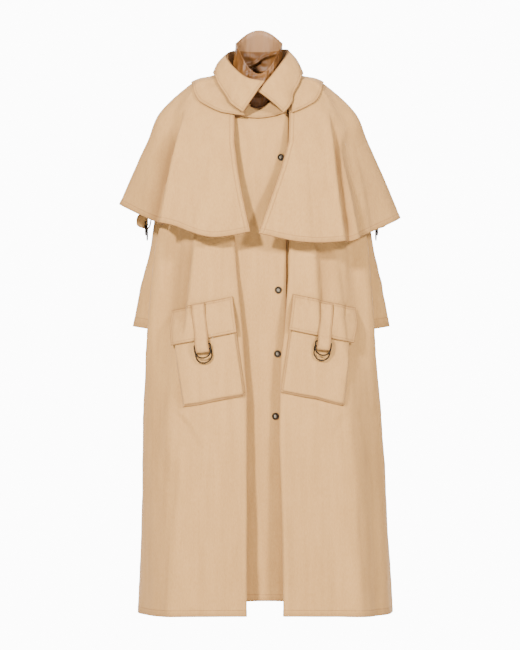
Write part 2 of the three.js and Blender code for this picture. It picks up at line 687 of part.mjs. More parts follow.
function yokeCentre(across, down) {
  const narrow = mix(YOKE_CENTRE.neck_share, 1, Math.min(down / YOKE_NECK.section, 1));
  const x = mix(YOKE_CENTRE.left, YOKE_CENTRE.right, across) * narrow;
  const ring = ringAtX(bodySurface, down, x, -2.3, 2.3);
  return bodySurface(ring, down).addScaledVector(normalOf(bodySurface, ring, down), -YOKE_CENTRE.clear);
}
add("yoke_centre", wall(yokeCentre, steps(6), [0, 0.5, 1, 1.5, YOKE_CENTRE.hem], -CLOTH), COLOURS.gabardine);

// Sleeves

const ARM_SECTIONS = [3, 3.3, 3.8, 4.15, 4.5, 4.85, 5.2, 5.6];
const armShare = (section) => (section - ARMHOLE_TOP) / (ARMHOLE_FOOT - ARMHOLE_TOP) / 2;
const SLEEVE_COLUMNS = [
  ...ARM_SECTIONS.map(armShare),
  0.5,
  ...ARM_SECTIONS.slice(1).reverse().map((section) => 1 - armShare(section)),
];

function armholeEdge(side, turn) {
  const share = turn < 0.5 ? turn : 1 - turn;
  const section = mix(ARMHOLE_TOP, ARMHOLE_FOOT, 2 * share);
  const ring = sideEdge(section, turn < 0.5 ? "front" : "back", side);
  return bodySurface(ring, section);
}

const ARMHOLE_CORNERS = [0.15, 0.35, 0.65, 0.85]; // places round the armhole, whose mean is its centre

function armholePoint(side, turn) {
  const centre = new THREE.Vector3();
  for (const corner of ARMHOLE_CORNERS) {
    centre.addScaledVector(armholeEdge(side, corner), 1 / ARMHOLE_CORNERS.length);
  }
  const edge = armholeEdge(side, turn);
  return edge.addScaledVector(centre.sub(edge).normalize(), ARMHOLE_GAP);
}

function sleeveRingPoint(side, row, turn) {
  const angle = 2 * Math.PI * turn;
  const tilt = radians(row.tilt);
  const out = row.reach * Math.cos(angle);
  const z = row.z + out * Math.sin(tilt);
  const section = lookUp(SECTION_HEIGHTS, "z", row.z, "section");
  const sway = along(BODY_SECTIONS, section, (body) => body.sway);
  return new THREE.Vector3(
    side * (row.x + out * Math.cos(tilt)) + sway,
    row.y - row.depth * Math.sin(angle),
    z,
  );
}

function sleeveSurface(side) {
  const columns = new Map();
  return (turnPlace, down) => {
    const turn = turnPlace - Math.floor(turnPlace);
    if (!columns.has(turn)) {
      const rings = SLEEVE_SECTIONS.map((row) => sleeveRingPoint(side, row, turn));
      columns.set(turn, [armholePoint(side, turn), ...rings]);
    }
    return pointAlong(columns.get(turn), down);
  };
}
const SLEEVE_ROWS = [0, 0.5, 1, 1.6, 2.2, 3, 3.8, 4.8, 5.4, 6];
add("sleeve_left", wall(sleeveSurface(-1), SLEEVE_COLUMNS, SLEEVE_ROWS, -CLOTH, true), COLOURS.gabardine);
add("sleeve_right", wall(sleeveSurface(1), SLEEVE_COLUMNS, SLEEVE_ROWS, CLOTH, true), COLOURS.gabardine);

// Shirt collar and its stand

const collarLayer = movedOut(cape, -COLLAR_CLEAR);

function collarPoint(place, down) {
  const fold = pointAlong(COLLAR_FOLD, place);
  const ring = along(COLLAR, place, (row) => row.ring);
  const edge = collarLayer(ring, along(COLLAR, place, (row) => row.section));
  const out = new THREE.Vector3(fold.x, fold.y, 0).normalize();
  out.z = COLLAR_LIFT;
  return fold.lerp(edge, down).addScaledVector(out, COLLAR_ROLL * Math.sin(Math.PI * down));
}
const COLLAR_COLUMNS = [0, 0.5, 1, 1.5, 2, 2.5, 3, 3.5, 4, 4.5, 5, 5.5, 6, 6.5, 7, 7.5, 8, 8.5, 9, 9.5, 10];
add("collar", wall(collarPoint, COLLAR_COLUMNS, [0, 0.2, 0.5, 0.8, 1], CLOTH), COLOURS.gabardine);

function standPoint(place, up) {
  const ring = along(COLLAR, place, (row) => row.ring);
  const foot = bodySurface(ring + (ring < -HALF_RING ? 2 * HALF_RING : 0), 0);
  foot.z += STAND_SEAT;
  const head = pointAlong(COLLAR_FOLD, place);
  const out = new THREE.Vector3(head.x, head.y, 0).normalize();
  head.addScaledVector(out, -STAND_INSET);
  head.z -= STAND_INSET;
  return foot.lerp(head, up);
}
const STAND_COLUMNS = COLLAR_COLUMNS.filter((place) => place >= 1 && place <= 9);
add("collar_stand", wall(standPoint, STAND_COLUMNS, [0, 0.5, 1], -CLOTH), COLOURS.gabardine);

// Satin funnel inside the neck

function funnelPoint(turn, up) {
  const angle = 2 * Math.PI * turn;
  const column = (name) => along(FUNNEL_SECTIONS, up, (row) => row[name]);
  const across = Math.sin(angle);
  const forward = Math.cos(angle);
  const gather = 0.5 + 0.5 * Math.cos(FUNNEL.waves * angle + FUNNEL.slant * up);
  const inset = FUNNEL.scrunch * column("scrunch") * gather * mix(FUNNEL.back_share, 1, 0.5 + 0.5 * forward);
  const z = mix(forward > 0 ? column("z_front") : column("z_back"), column("z_side"), across ** 2);
  return new THREE.Vector3(
    (column("width") - inset) * across + (FUNNEL.centre_x * up) / 3,
    forward > 0 ? -(column("front") - inset) * forward : -(column("back") - inset) * forward,
    z,
  );
}
const FUNNEL_COLUMNS = steps(44).slice(0, -1);
const FUNNEL_ROWS = [0, 0.5, 1, 1.5, 2, 2.5, 3];
add("neck_funnel", wall(funnelPoint, FUNNEL_COLUMNS, FUNNEL_ROWS, SATIN, true), COLOURS.satin);

// Cargo pockets with flaps and tabs

// The place on the body's front, given from the front.
function panelPlace(x, z) {
  const section = lookUp(SECTION_HEIGHTS, "z", z, "section");
  return [ringAtX(bodySurface, section, x, -3, 3), section];
}

// A point over a pocket: across and down in mm from its top outer corner, and out from the panel.
function onPocket(side, across, down, out) {
  const leanAcross = radians(POCKET.lean_across);
  const leanDown = radians(POCKET.lean_down);
  const shift = side > 0 ? POCKET_RIGHT_SHIFT : { x: 0, z: 0 };
  const x = side * (POCKET.x - across * Math.cos(leanAcross) - down * Math.sin(leanDown)) + shift.x;
  const z = POCKET.z + across * Math.sin(leanAcross) - down * Math.cos(leanDown) + shift.z;
  const [ring, section] = panelPlace(x, z);
  return bodySurface(ring, section).addScaledVector(normalOf(bodySurface, ring, section), -out);
}

// A point over the pocket's tab, which is straight across.
function onTab(side, across, down, out) {
  const middle = (TAB_PATH[0].down + TAB_PATH[TAB_LOWEST].down) / 2;
  const at = (x, y) => onPocket(side, TAB.across + x, middle + y, 0);
  const lengthways = at(0, 50).sub(at(0, -50)).normalize();
  const sideways = at(15, 0).sub(at(-15, 0));
  sideways.addScaledVector(lengthways, -sideways.dot(lengthways)).normalize();
  return onPocket(side, TAB.across, down, out).addScaledVector(sideways, across);
}

// The pouch grows out of its top edge down to its full height.
const pouchGrowth = (down) => smooth(POUCH.rise_from, POUCH.rise_to, down);

function pouchRise(across, down) {
  const toEdge = Math.min(across, POCKET.width - across, POCKET.height - down);
  return POUCH.foot + POUCH.height * smooth(0, POUCH.wall, toEdge) * pouchGrowth(down);
}

function flapRise(down) {
  const overPouch = POUCH.foot + POUCH.height * pouchGrowth(down) + LAYER;
  return mix(FLAP.foot, overPouch, smooth(FLAP.top, FLAP.risen, down));
}

const POUCH_ACROSS = [0, POUCH.wall * 0.5, POUCH.wall, 40, 73, 107, POCKET.width - POUCH.wall,
  POCKET.width - POUCH.wall * 0.5, POCKET.width];
const POUCH_DOWN = [POUCH.top, 26, 40, 60, 110, 160, 195, POCKET.height - POUCH.wall,
  POCKET.height - POUCH.wall * 0.5, POCKET.height];
const FLAP_ACROSS = [-2, ...POUCH_ACROSS.slice(1, -1), POCKET.width + 2];
const FLAP_DOWN = [FLAP.top, 4, FLAP.risen, 26, 40, 60, FLAP.height];

for (const [side, name] of [[-1, "left"], [1, "right"]]) {
  const pouch = (across, down) => onPocket(side, across, down, pouchRise(across, down));
  const flap = (across, down) => onPocket(side, across, down, flapRise(down));
  const tab = (across, place) =>
    onTab(side, across, along(TAB_PATH, place, (p) => p.down), along(TAB_PATH, place, (p) => p.out));
  const tabAcross = [-TAB_WIDTH / 2, TAB_WIDTH / 2];
  add(`pocket_${name}`, wall(pouch, POUCH_ACROSS, POUCH_DOWN, side * CLOTH), COLOURS.gabardine);
  add(`flap_${name}`, wall(flap, FLAP_ACROSS, FLAP_DOWN, side * CLOTH), COLOURS.gabardine);
  add(`pocket_tab_${name}`, wall(tab, tabAcross, TAB_PLACES, side * CLOTH), COLOURS.gabardine);
}

// Sleeve tabs

const SLEEVE_TAB_X = { left: -251.8, right: 273.4 };
for (const [side, name] of [[-1, "left"], [1, "right"]]) {
  const tab = (y, place) =>
    new THREE.Vector3(
      SLEEVE_TAB_X[name] + side * along(SLEEVE_TAB_PATH, place, (p) => p.out),
      y,
      along(SLEEVE_TAB_PATH, place, (p) => p.z),
    );
  const ys = [SLEEVE_TAB.y - TAB_WIDTH / 2, SLEEVE_TAB.y + TAB_WIDTH / 2];
  add(`sleeve_tab_${name}`, wall(tab, ys, SLEEVE_TAB_PLACES, -side * CLOTH), COLOURS.gabardine);
}

// D-rings

// The middle of a ring's wire. The bar lies along X, and the ring hangs down from it.
function ringMiddle() {
  const half = (RING_WIDTH - RING_WIRE) / 2;
  const straight = RING_DEPTH - RING_WIRE - RING_ROUND;
  const points = [new THREE.Vector3(half - RING_CORNER, 0, 0), new THREE.Vector3(half, 0, -RING_CORNER)];
  for (const share of steps(8)) {
    const angle = Math.PI * share;
    points.push(new THREE.Vector3(half * Math.cos(angle), 0, -straight - RING_ROUND * Math.sin(angle)));
  }
  points.push(new THREE.Vector3(-half, 0, -RING_CORNER), new THREE.Vector3(RING_CORNER - half, 0, 0));
  return points;
}

const WIRE_SIDES = 6;

function ringSolid() {
  const middle = ringMiddle();
  const count = middle.length;
  const positions = [];
  const faces = [];
  middle.forEach((point, i) => {
    const before = point.clone().sub(middle[(i + count - 1) % count]).normalize();
    const after = middle[(i + 1) % count].clone().sub(point).normalize();
    const way = before.clone().add(after).normalize();
    const side = new THREE.Vector3(way.z, 0, -way.x).divideScalar(way.dot(after));
    for (let turn = 0; turn < WIRE_SIDES; turn += 1) {
      const angle = (2 * Math.PI * turn) / WIRE_SIDES;
      const vertex = point.clone().addScaledVector(side, (RING_WIRE / 2) * Math.cos(angle));
      vertex.y += (RING_WIRE / 2) * Math.sin(angle);
      positions.push(...vertex.toArray());
      const next = ((i + 1) % count) * WIRE_SIDES;
      const beside = (turn + 1) % WIRE_SIDES;
      faces.push(i * WIRE_SIDES + turn, i * WIRE_SIDES + beside, next + beside);
      faces.push(i * WIRE_SIDES + turn, next + beside, next + turn);
    }
  });
  return solidFrom(positions, faces);
}
const ringGeometry = ringSolid();

// A ring whose bar is at a point, with the directions of the bar and of the ring's reach.
function addRing(name, bar, barLine, hang) {
  const x = barLine.clone().normalize();
  const z = hang.clone().negate().addScaledVector(x, hang.dot(x)).normalize();
  const y = new THREE.Vector3().crossVectors(z, x);
  const ring = add(name, ringGeometry, COLOURS.gunmetal);
  ring.quaternion.setFromRotationMatrix(new THREE.Matrix4().makeBasis(x, y, z));
  ring.position.copy(bar);
}

for (const [side, name] of [[-1, "left"], [1, "right"]]) {
  for (const [level, bar] of Object.entries(POCKET_BARS)) {
    const at = (across, down) => onTab(side, across, bar.down + down, bar.out);
    const barLine = at(-side * 5, 0).sub(at(side * 5, 0));
    const hang = at(0, 20).sub(at(0, -20));
    addRing(`ring_pocket_${name}_${level}`, at(0, 0), barLine, hang);
  }
  for (const [level, bar] of Object.entries(SLEEVE_BARS)) {
    const place = new THREE.Vector3(SLEEVE_TAB_X[name] + side * bar.out, SLEEVE_TAB.y, bar.z);
    addRing(`ring_sleeve_${name}_${level}`, place, new THREE.Vector3(0, 1, 0), new THREE.Vector3(0, 0, -1));
  }
}

// Snaps

const SNAP_PROFILE = [
  [0, 0], [1, 0], [1, 0.35], [0.86, 0.8], [0.62, 0.8], [0.5, 0.62], [0.3, 0.95], [0, 1],
].map(([radius, height]) => new THREE.Vector2(radius * SNAP_RADIUS, height * SNAP_HEIGHT));

// The middle of a facet of the left front nearest to a place, with its outward normal.
function onFacets(place, section) {
  const below = (list, value) => list.findLastIndex((entry) => entry <= value);
  const column = below(FRONT_COLUMNS, place);
  const row = below(BODY_ROWS, section);
  const [left, right] = [FRONT_COLUMNS[column], FRONT_COLUMNS[column + 1]];
  const [top, low] = [BODY_ROWS[row], BODY_ROWS[row + 1]];
  const share = (section - top) / (low - top);
  const side = (at) => leftFront(at, top).lerp(leftFront(at, low), share);
  const point = side(left).lerp(side(right), (place - left) / (right - left));
  const across = leftFront(right, top).sub(leftFront(left, low));
  const down = leftFront(right, low).sub(leftFront(left, top));
  return { point, out: down.cross(across).normalize() };
}

SNAPS.forEach((snap, i) => {
  const section = lookUp(SECTION_HEIGHTS, "z", snap.z, "section");
  let [low, high] = [14, 17];
  for (let step = 0; step < 30; step += 1) {
    const middle = (low + high) / 2;
    if (leftFront(middle, section).x < snap.x) low = middle;
    else high = middle;
  }
  const { point, out } = onFacets(low, section);
  if (out.y > 0) out.negate();
  const mesh = add(`snap_${i + 1}`, new THREE.LatheGeometry(SNAP_PROFILE, 14), COLOURS.snap);
  mesh.quaternion.setFromUnitVectors(new THREE.Vector3(0, 1, 0), out);
  mesh.position.copy(point).addScaledVector(out, SNAP_SEAT);
});

export default coat;
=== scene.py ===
"""The looks of a caped coat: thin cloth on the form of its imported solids, with hems, stitching and folds.

Shapes are worked out in millimetres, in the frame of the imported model, and become metres in mesh_object.
"""

import math

import bpy
import numpy as np
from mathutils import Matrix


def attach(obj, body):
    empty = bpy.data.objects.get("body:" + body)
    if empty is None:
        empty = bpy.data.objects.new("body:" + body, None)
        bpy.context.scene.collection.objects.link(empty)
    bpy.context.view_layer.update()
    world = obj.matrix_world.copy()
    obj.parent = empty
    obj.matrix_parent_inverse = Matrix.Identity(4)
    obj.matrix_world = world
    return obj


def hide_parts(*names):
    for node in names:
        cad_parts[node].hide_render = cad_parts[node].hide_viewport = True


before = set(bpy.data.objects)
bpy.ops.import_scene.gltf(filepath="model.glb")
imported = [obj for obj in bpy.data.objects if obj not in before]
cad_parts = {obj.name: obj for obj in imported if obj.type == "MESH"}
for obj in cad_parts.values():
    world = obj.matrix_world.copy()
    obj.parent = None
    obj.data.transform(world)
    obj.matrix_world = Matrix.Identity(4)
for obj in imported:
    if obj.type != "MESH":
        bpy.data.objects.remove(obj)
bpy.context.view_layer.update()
MM = 0.001

# Camera

CAMERA_PLACE = (0.007, -6.0, -0.569)
FRAME_HEIGHT = 1.56  # metres of the coat's middle plane that the picture shows from top to bottom
SENSOR = 36.0


def add_camera():
    data = bpy.data.cameras.new("camera")
    data.sensor_width = SENSOR
    data.lens = SENSOR * abs(CAMERA_PLACE[1]) / FRAME_HEIGHT
    camera = bpy.data.objects.new("camera", data)
    bpy.context.scene.collection.objects.link(camera)
    camera.location = CAMERA_PLACE
    camera.rotation_euler = (math.pi / 2, 0, 0)
    bpy.context.scene.camera = camera


add_camera()

# Sizes of the coat

RIM_BULGE = 0.8  # how far a cloth's round edge reaches out, as a share of half its thickness
CLOTH = 1.5
SATIN = 0.9
SEAM_GAP = 0.3
TAB_WIDTH = 31.5

# Body sections from the neck edge to the hem: z front, side, back; width, front, back; dent, dent x; sway
BODY_SECTIONS = [
    (-56, 36, 46, 68, 66, 62, 0, 120, 0),
    (-67, 22, 26, 104, 88, 84, 0, 120, 0),
    (-84, 4, -4, 148, 108, 102, 0, 120, 1),
    (-114, -28, -44, 184, 124, 118, 0, 120, 2),
    (-160, -95, -110, 190, 134, 128, 0.1, 130, 4),
    (-222, -200, -205, 192, 142, 136, 0.8, 122, 7),
    (-285, -285, -285, 214, 148, 142, 1, 118, 10),
    (-345, -345, -345, 240, 153, 146, 1, 124, 12),
    (-460, -460, -460, 256, 160, 150, 1, 150, 11),
    (-590, -590, -590, 268, 166, 154, 1, 172, 10),
    (-750, -750, -750, 281, 172, 160, 0.4, 205, 12),
    (-900, -900, -900, 290, 178, 166, 0.15, 230, 15),
    (-1080, -1080, -1080, 298, 184, 172, 0.05, 250, 18),
    (-1247, -1258, -1252, 306, 188, 178, 0, 260, 20),
]
BODY_ANGLES = np.array([0, 28, 58, 90, 112, 132, 152, 180.0])
HALF_RING = len(BODY_ANGLES) - 1
SECTION_POWER = 0.82
SIDE_FOLD_Y = -52
DENT_FRONT_Y = -22
DENT_BACK_Y = 108
WING_X = 188
WING_Y = 136

# Drape folds: ring place, spread, first and last section, height at the top and at the hem
DRAPE_FOLDS = [
    (-1.95, 0.42, 6.3, 9.6, -15, -3),
    (-1.3, 0.4, 6.3, 10, 7, 2),
    (2.05, 0.42, 6.3, 9.6, -14, -3),
    (1.45, 0.4, 6.3, 10, 7, 2),
    (-2.3, 0.5, 9.4, 13, 0, -9),
    (-1.5, 0.45, 10, 13, 0, 6),
    (2.2, 0.5, 9.4, 13, 0, -9),
    (1.4, 0.45, 10, 13, 0, 6),
    (7, 0.5, 4, 13, 2, 13),
    (-6.1, 0.5, 5, 13, -3, -14),
    (6.1, 0.5, 5, 13, -3, -14),
    (-4.6, 0.6, 10, 13, 0, -14),
    (4.6, 0.6, 10, 13, 0, -14),
]

# Where the panels end at the side: section, ring place of the front, ring place of the back
SIDE_EDGES = np.array([
    (0, 3.3, 3.3), (3, 3.3, 3.3), (3.3, 3, 3.85), (3.8, 2.8, 4.45), (4.5, 2.78, 4.75),
    (5.2, 3.05, 4.9), (5.6, 3.45, 4.8), (5.9, 4.35, 4.35), (13.5, 4.35, 4.35),
])
ARMHOLE_TOP = 3
ARMHOLE_FOOT = 5.9
ARMHOLE_GAP = 2

# Folds beside the snap panel: z, left fold, right fold, recess, open, placket edge
PLEAT = np.array([
    (-45, -30, 46, 14, 0, 38), (-57, -44, 64, 14, 0, 56), (-76, -60, 84, 14, 0, 74),
    (-215, -60, 84, 14, 0, 72), (-330, -54, 76, 15, 1, 69), (-456, -45, 73, 20, 1, 69),
    (-576, -33, 64, 26, 1, 67), (-640, -29, 56, 28, 1, 65), (-730, -22, 53, 32, 1, 62),
    (-830, -22, 50.5, 34, 1, 60), (-1085, -22, 59.5, 46, 1, 67), (-1260, -22, 60.5, 54, 1, 69),
])[::-1]
SNAP_PANEL_RISE = 31
UNDERLAP = 62
UNDERLAP_DEPTH = 5.5
UNDERLAP_FLAT = 3.4
HEM_SECTION_LENGTH = 167

# The way of a front (-1 is left) through its pleat. Columns: reach past the fold, share of the recess
# and depth beyond it, and reach and depth where the pleat lies flat
PLEAT_PATHS = {
    -1: [
        (-9, 0, 0.3, -9, 0), (-1.5, 0, 2.6, 0, 0), (-1.5, 0, 8, 8, 0),
        (-11, 0.62, 3, 16, 0), (-11, 1, -2, 24, 0), (2, 1, 0, 34, 0),
    ],
    1: [
        (-9, 0, 0.3, -9, 0), (-1.5, 0, 2.6, 0, 0.2), (-1.5, 0, 8, 4, 1.6),
        (-19, 0.62, 3, 8, 3), (-22, 1, 1.5, 14, UNDERLAP_FLAT), (-9, 1, UNDERLAP_DEPTH, 22, UNDERLAP_FLAT),
    ],
}
FRONT_SECTIONS = np.linspace(-0.3, 13.05, 668)  # from just above the neck edge to just below the hem

# Shoulder cape sections: z front, side, back; front; ridge x, y; hollow x, y; side x, y; back x, y; back
CAPE_SECTIONS = [
    (-112, -58, -60, 142, 190, -98, 207, -66, 232, -6, 165, 124, 146),
    (-170, -128, -135, 158, 202, -122, 216, -86, 263, 0, 185, 142, 164),
    (-255, -207, -230, 174, 218, -140, 230, -100, 299, 6, 208, 158, 182),
    (-364, -300, -340, 188, 238, -152, 248, -108, 341, 10, 236, 172, 198),
]
CAPE_HEM = np.array([
    (0, 5.86, 5.92), (1, 6.0, 6.11), (2, 5.75, 6.09), (3, 5.76, 6.11),
    (4, 5.89, 6.22), (5, 5.77, 6.1), (6, 5.85, 6.0), (7, 5.95, 5.95),
])
YOKE_HEM = np.array([(0, 2.1), (1, 2.25), (2, 2.25), (3, 2.15), (4, 2.05), (5, 1.95), (7, 1.9)])
# The cape's front edges: z, x of the left edge, x of the right edge
CAPE_EDGES = np.array([
    (-50, -53, 77), (-140, -53, 74), (-200, -46, 57), (-268, -34, 34), (-365, -14, 3),
])[::-1]
CAPE_SEAM = 3.9
CAPE_SEAM_HALF_GAP = 0.007
CAPE_CLEAR = (3.4, 5.6, 9)
CAPE_ANGLES = np.array([0, 25, 48, 62, 70, 92, 132, 180.0])
CAPE_EVEN = 4.7
CAPE_FOOT = 6
YOKE_LEFT_END = -29
YOKE_RIGHT_END = 80
YOKE_CENTRE = {"left": -48, "right": 71, "hem": 1.95, "clear": 2.4}
YOKE_EVEN = 1.5
YOKE_FOOT = 2.1
YOKE_PLACE_LENGTH = 50  # mm from one ring place to the next at the yoke's seam behind
LAYER = 3.4

# Sleeve rings: x, y, z, reach, depth, tilt
SLEEVE_SECTIONS = [
    (183, 23, -174, 101, 52, 68),
    (196, 32, -245, 82, 56, 40),
    (196, 42, -322, 66, 60, 8),
    (207, 50, -390, 66, 58, -5),
    (225, 56, -451, 65, 54, -8),
    (247, 60, -582, 65, 52, 9),
]

# Shirt collar: fold point, ring and section of the outer edge
COLLAR = np.array([
    (18, -92, 8, -0.42, 2.05), (-24, -88, 17, -0.95, 1.55), (-57, -56, 46, -1.7, 1.12),
    (-75, -8, 78, -4.2, 0.88), (-52, 52, 96, -5.9, 0.82), (2, 74, 100, -7, 0.8),
    (58, 52, 99, -8.1, 0.86), (76, -6, 88, -9.8, 0.98), (57, -56, 54, -12.1, 1.25),
    (29, -86, 16, -12.8, 1.75), (2, -99, -17, -13.26, 2.25),
])
COLLAR_CLEAR = 9.5
COLLAR_ROLL = 5
STAND_SEAT = 0.9
STAND_INSET = 1.9
LEVEL = np.array([1, 1, 0])

# Satin funnel: z front, side, back; width, front, back; scrunch
FUNNEL_SECTIONS = np.array([
    (-54, 33, 43, 64, 62, 59, 0), (-30, 52, 66, 60.5, 64.5, 58, 1),
    (2, 80, 102, 58, 64, 54, 0.8), (28, 108, 144, 56, 58, 50, 0.5),
])
FUNNEL_CENTRE_X = 5

# Pockets and tabs
POCKET = {"x": 202, "z": -538, "lean_across": 12, "lean_down": 7.5, "width": 147, "height": 226}
POCKET_RIGHT_SHIFT = (27, 6)
POUCH = {"top": 14, "foot": 2, "height": 10, "wall": 6}
FLAP = {"height": 80, "foot": 3.9}
TAB_ACROSS = 68
TAB_PATH = np.array([
    (-3, 6.9), (13, 13.1), (40, 16.7), (60, 17), (77, 20.4), (84, 25), (98, 26.8),
    (109, 23.8), (111.4, 18.8), (109, 14), (99, 12.6), (86, 12.6),
])
SLEEVE_TAB_Y = 38
SLEEVE_TAB_TWIST = 1.1
SLEEVE_TAB_X = {"left": -251.8, "right": 273.4}
SLEEVE_TAB_PATH = np.array([
    (0.3, -280), (15, -289), (32, -300), (38.5, -308), (40, -320), (38, -329),
    (28, -334), (14, -336.5), (8, -333), (5, -324), (3.2, -312),
])

# Curves and surfaces


def mix(a, b, share):
    return a + (b - a) * share


def smooth(start, end, value):
    share = np.clip((value - start) / (end - start), 0, 1)
    return share * share * (3 - 2 * share)


def together(*values):
    """Numbers or arrays as arrays of one shape."""
    return np.broadcast_arrays(*(np.asarray(value, float) for value in values))


def spline(p0, p1, p2, p3, f):
    bend = 3 * (p1 - p2) + p3 - p0
    return p1 + 0.5 * f * (p2 - p0 + f * (2 * p0 - 5 * p1 + 4 * p2 - p3 + f * bend))


def along(values, place):
    """Values at fractional places along a list, on a smooth curve."""
    values = np.asarray(values, float)
    place = np.asarray(place, float)
    last = len(values) - 1
    i = np.clip(np.floor(place).astype(int), 0, last - 1)
    f = place - i
    first, final = i == 0, i + 1 == last
    if values.ndim > 1:
        f, first, final = f[..., None], first[..., None], final[..., None]
    p1, p2 = values[i], values[i + 1]
    p0 = np.where(first, 2 * p1 - p2, values[np.maximum(i - 1, 0)])
    p3 = np.where(final, 2 * p2 - p1, values[np.minimum(i + 2, last)])
    return spline(p0, p1, p2, p3, f)


def unit(vectors):
    return vectors / np.maximum(np.linalg.norm(vectors, axis=-1, keepdims=True), 1e-9)


def back_turn(ring):
    """Ring places past the centre back, counted from the other side."""
    return np.where(ring > HALF_RING, ring - 2 * HALF_RING, ring)


def ring_surface(half_rings, sway):
    """A closed surface through half rings, as a function of ring place and section."""
    half = np.asarray(half_rings, float)
    mirrored = half[:, HALF_RING - 1:0:-1] * np.array([-1, 1, 1])
    full = np.concatenate([half, mirrored], axis=1)
    count = full.shape[1]
    rows = len(half)

    def surface(ring, section):
        ring, section = together(ring, section)
        i = np.floor(ring).astype(int)
        f = (ring - i)[..., None]
        j = np.clip(np.floor(section).astype(int), 0, rows - 2)
        g = (section - j)[..., None]
        near = []
        for step in (-1, 0, 1, 2):
            row = np.clip(j + step, 0, rows - 1)
            near.append(spline(*(full[row, (i + k) % count] for k in (-1, 0, 1, 2)), f))
        near[0] = np.where((j == 0)[..., None], 2 * near[1] - near[2], near[0])
        near[3] = np.where((j == rows - 2)[..., None], 2 * near[2] - near[1], near[3])
        point = spline(*near, g)
        point[..., 0] += sway(section)
        return point

    return surface


def inward(surface, u, v, step=1e-3):
    """The unit normal that points into the coat."""
    u, v = together(u, v)
    across = surface(u + step, v) - surface(u - step, v)
    down = surface(u, v + step) - surface(u, v - step)
    return unit(np.cross(across, down))


def ring_at_x(surface, section, x, low, high):
    section, x = together(section, x)
    low = np.full(section.shape, float(low))
    high = np.full(section.shape, float(high))
    for _ in range(32):
        middle = (low + high) / 2
        less = surface(middle, section)[..., 0] < x
        low = np.where(less, middle, low)
        high = np.where(less, high, middle)
    return (low + high) / 2


def body_half_ring(row, angles, grow=0.0):
    z_front, z_side, z_back, width, front, back, dent, dent_x, _ = row
    z_front, z_side, z_back = (z + 0.8 * grow for z in (z_front, z_side, z_back))
    width, front, back = width + grow, front + grow, back + grow
    points = []
    for i, degrees in enumerate(angles):
        sine, cosine = math.sin(math.radians(degrees)), math.cos(math.radians(degrees))
        in_front = degrees < 90
        x = width * abs(sine) ** SECTION_POWER
        y = (-front if in_front else back) * abs(cosine) ** SECTION_POWER
        z = mix(z_front if in_front else z_back, z_side, sine**2)
        pushed = {
            3: (width, SIDE_FOLD_Y), 4: (dent_x, DENT_FRONT_Y), 5: (dent_x, DENT_BACK_Y),
            6: (max(WING_X, x), WING_Y),
        }.get(i)
        if pushed:
            x, y = mix(x, pushed[0], dent), mix(y, pushed[1], dent)
        points.append((x, y, z))
    return points


BODY_TABLE = np.array(BODY_SECTIONS, float)
SWAY = BODY_TABLE[:, 8]
HEM_SECTION = len(BODY_SECTIONS) - 1
SECTION_PLACES = np.linspace(0, HEM_SECTION, 131)
SECTION_HEIGHTS = along(BODY_TABLE[:, 0], SECTION_PLACES)
plain_body = ring_surface(
    [body_half_ring(row, BODY_ANGLES) for row in BODY_SECTIONS], lambda section: along(SWAY, section))


def section_at_height(z):
    return np.interp(-z, -SECTION_HEIGHTS, SECTION_PLACES)


def body(ring_place, section):
    ring, section = together(ring_place, section)
    ring = back_turn(ring)
    point = plain_body(ring, section)
    angle = np.radians(along(BODY_ANGLES, np.abs(ring)))
    out = np.stack([np.sign(ring) * np.sin(angle), -np.cos(angle), 0 * angle], axis=-1)
    for place, spread, first, last, top, hem in DRAPE_FOLDS:
        turns = [np.abs(ring + turn - place) for turn in (0, 2 * HALF_RING, -2 * HALF_RING)]
        away = np.minimum(np.minimum(*turns[:2]), turns[2]) / spread
        reached = smooth(first, min(first + 1.2, last), section)
        height = mix(top, hem, np.clip((section - first) / (last - first), 0, 1)) * reached
        height = height * np.cos(np.minimum(away, 1) * math.pi / 2) ** 2
        point = point + out * height[..., None]
    return point


def side_edge(section, column, side):
    place = side * np.interp(section, SIDE_EDGES[:, 0], SIDE_EDGES[:, column])
    speed = np.linalg.norm(body(place + 0.01, section) - body(place - 0.01, section), axis=-1) / 0.02
    inwards = -side if column == 1 else side
    return place + inwards * SEAM_GAP / 2 / speed


def cape_half_ring(row):
    zf, zs, zb, front, ridge_x, ridge_y, hollow_x, hollow_y, side_x, side_y, back_x, back_y, back = row
    return [
        (0, -front, zf), (0.45 * ridge_x, 1 - front, zf), (0.84 * ridge_x, mix(-front, ridge_y, 0.5), zf),
        (ridge_x, ridge_y, mix(zf, zs, 0.15)), (hollow_x, hollow_y, mix(zf, zs, 0.45)),
        (side_x, side_y, zs), (back_x, back_y, mix(zs, zb, 0.6)), (0, back, zb),
    ]


cape = ring_surface(
    [body_half_ring(BODY_SECTIONS[i], CAPE_ANGLES, clear) for i, clear in enumerate(CAPE_CLEAR)]
    + [cape_half_ring(row) for row in CAPE_SECTIONS],
    lambda s: np.minimum(s, 1),
)


def cape_section(ring, down):
    turned = back_turn(ring)
    left, right = (along(CAPE_HEM[:, k], np.abs(turned)) for k in (1, 2))
    hem = np.where(turned < 0, left, right)
    low = mix(CAPE_EVEN, hem, (down - CAPE_EVEN) / (CAPE_FOOT - CAPE_EVEN))
    return np.where(down <= CAPE_EVEN, down, low)


def yoke(ring, section):
    return cape(ring, section) - LAYER * inward(cape, ring, section)


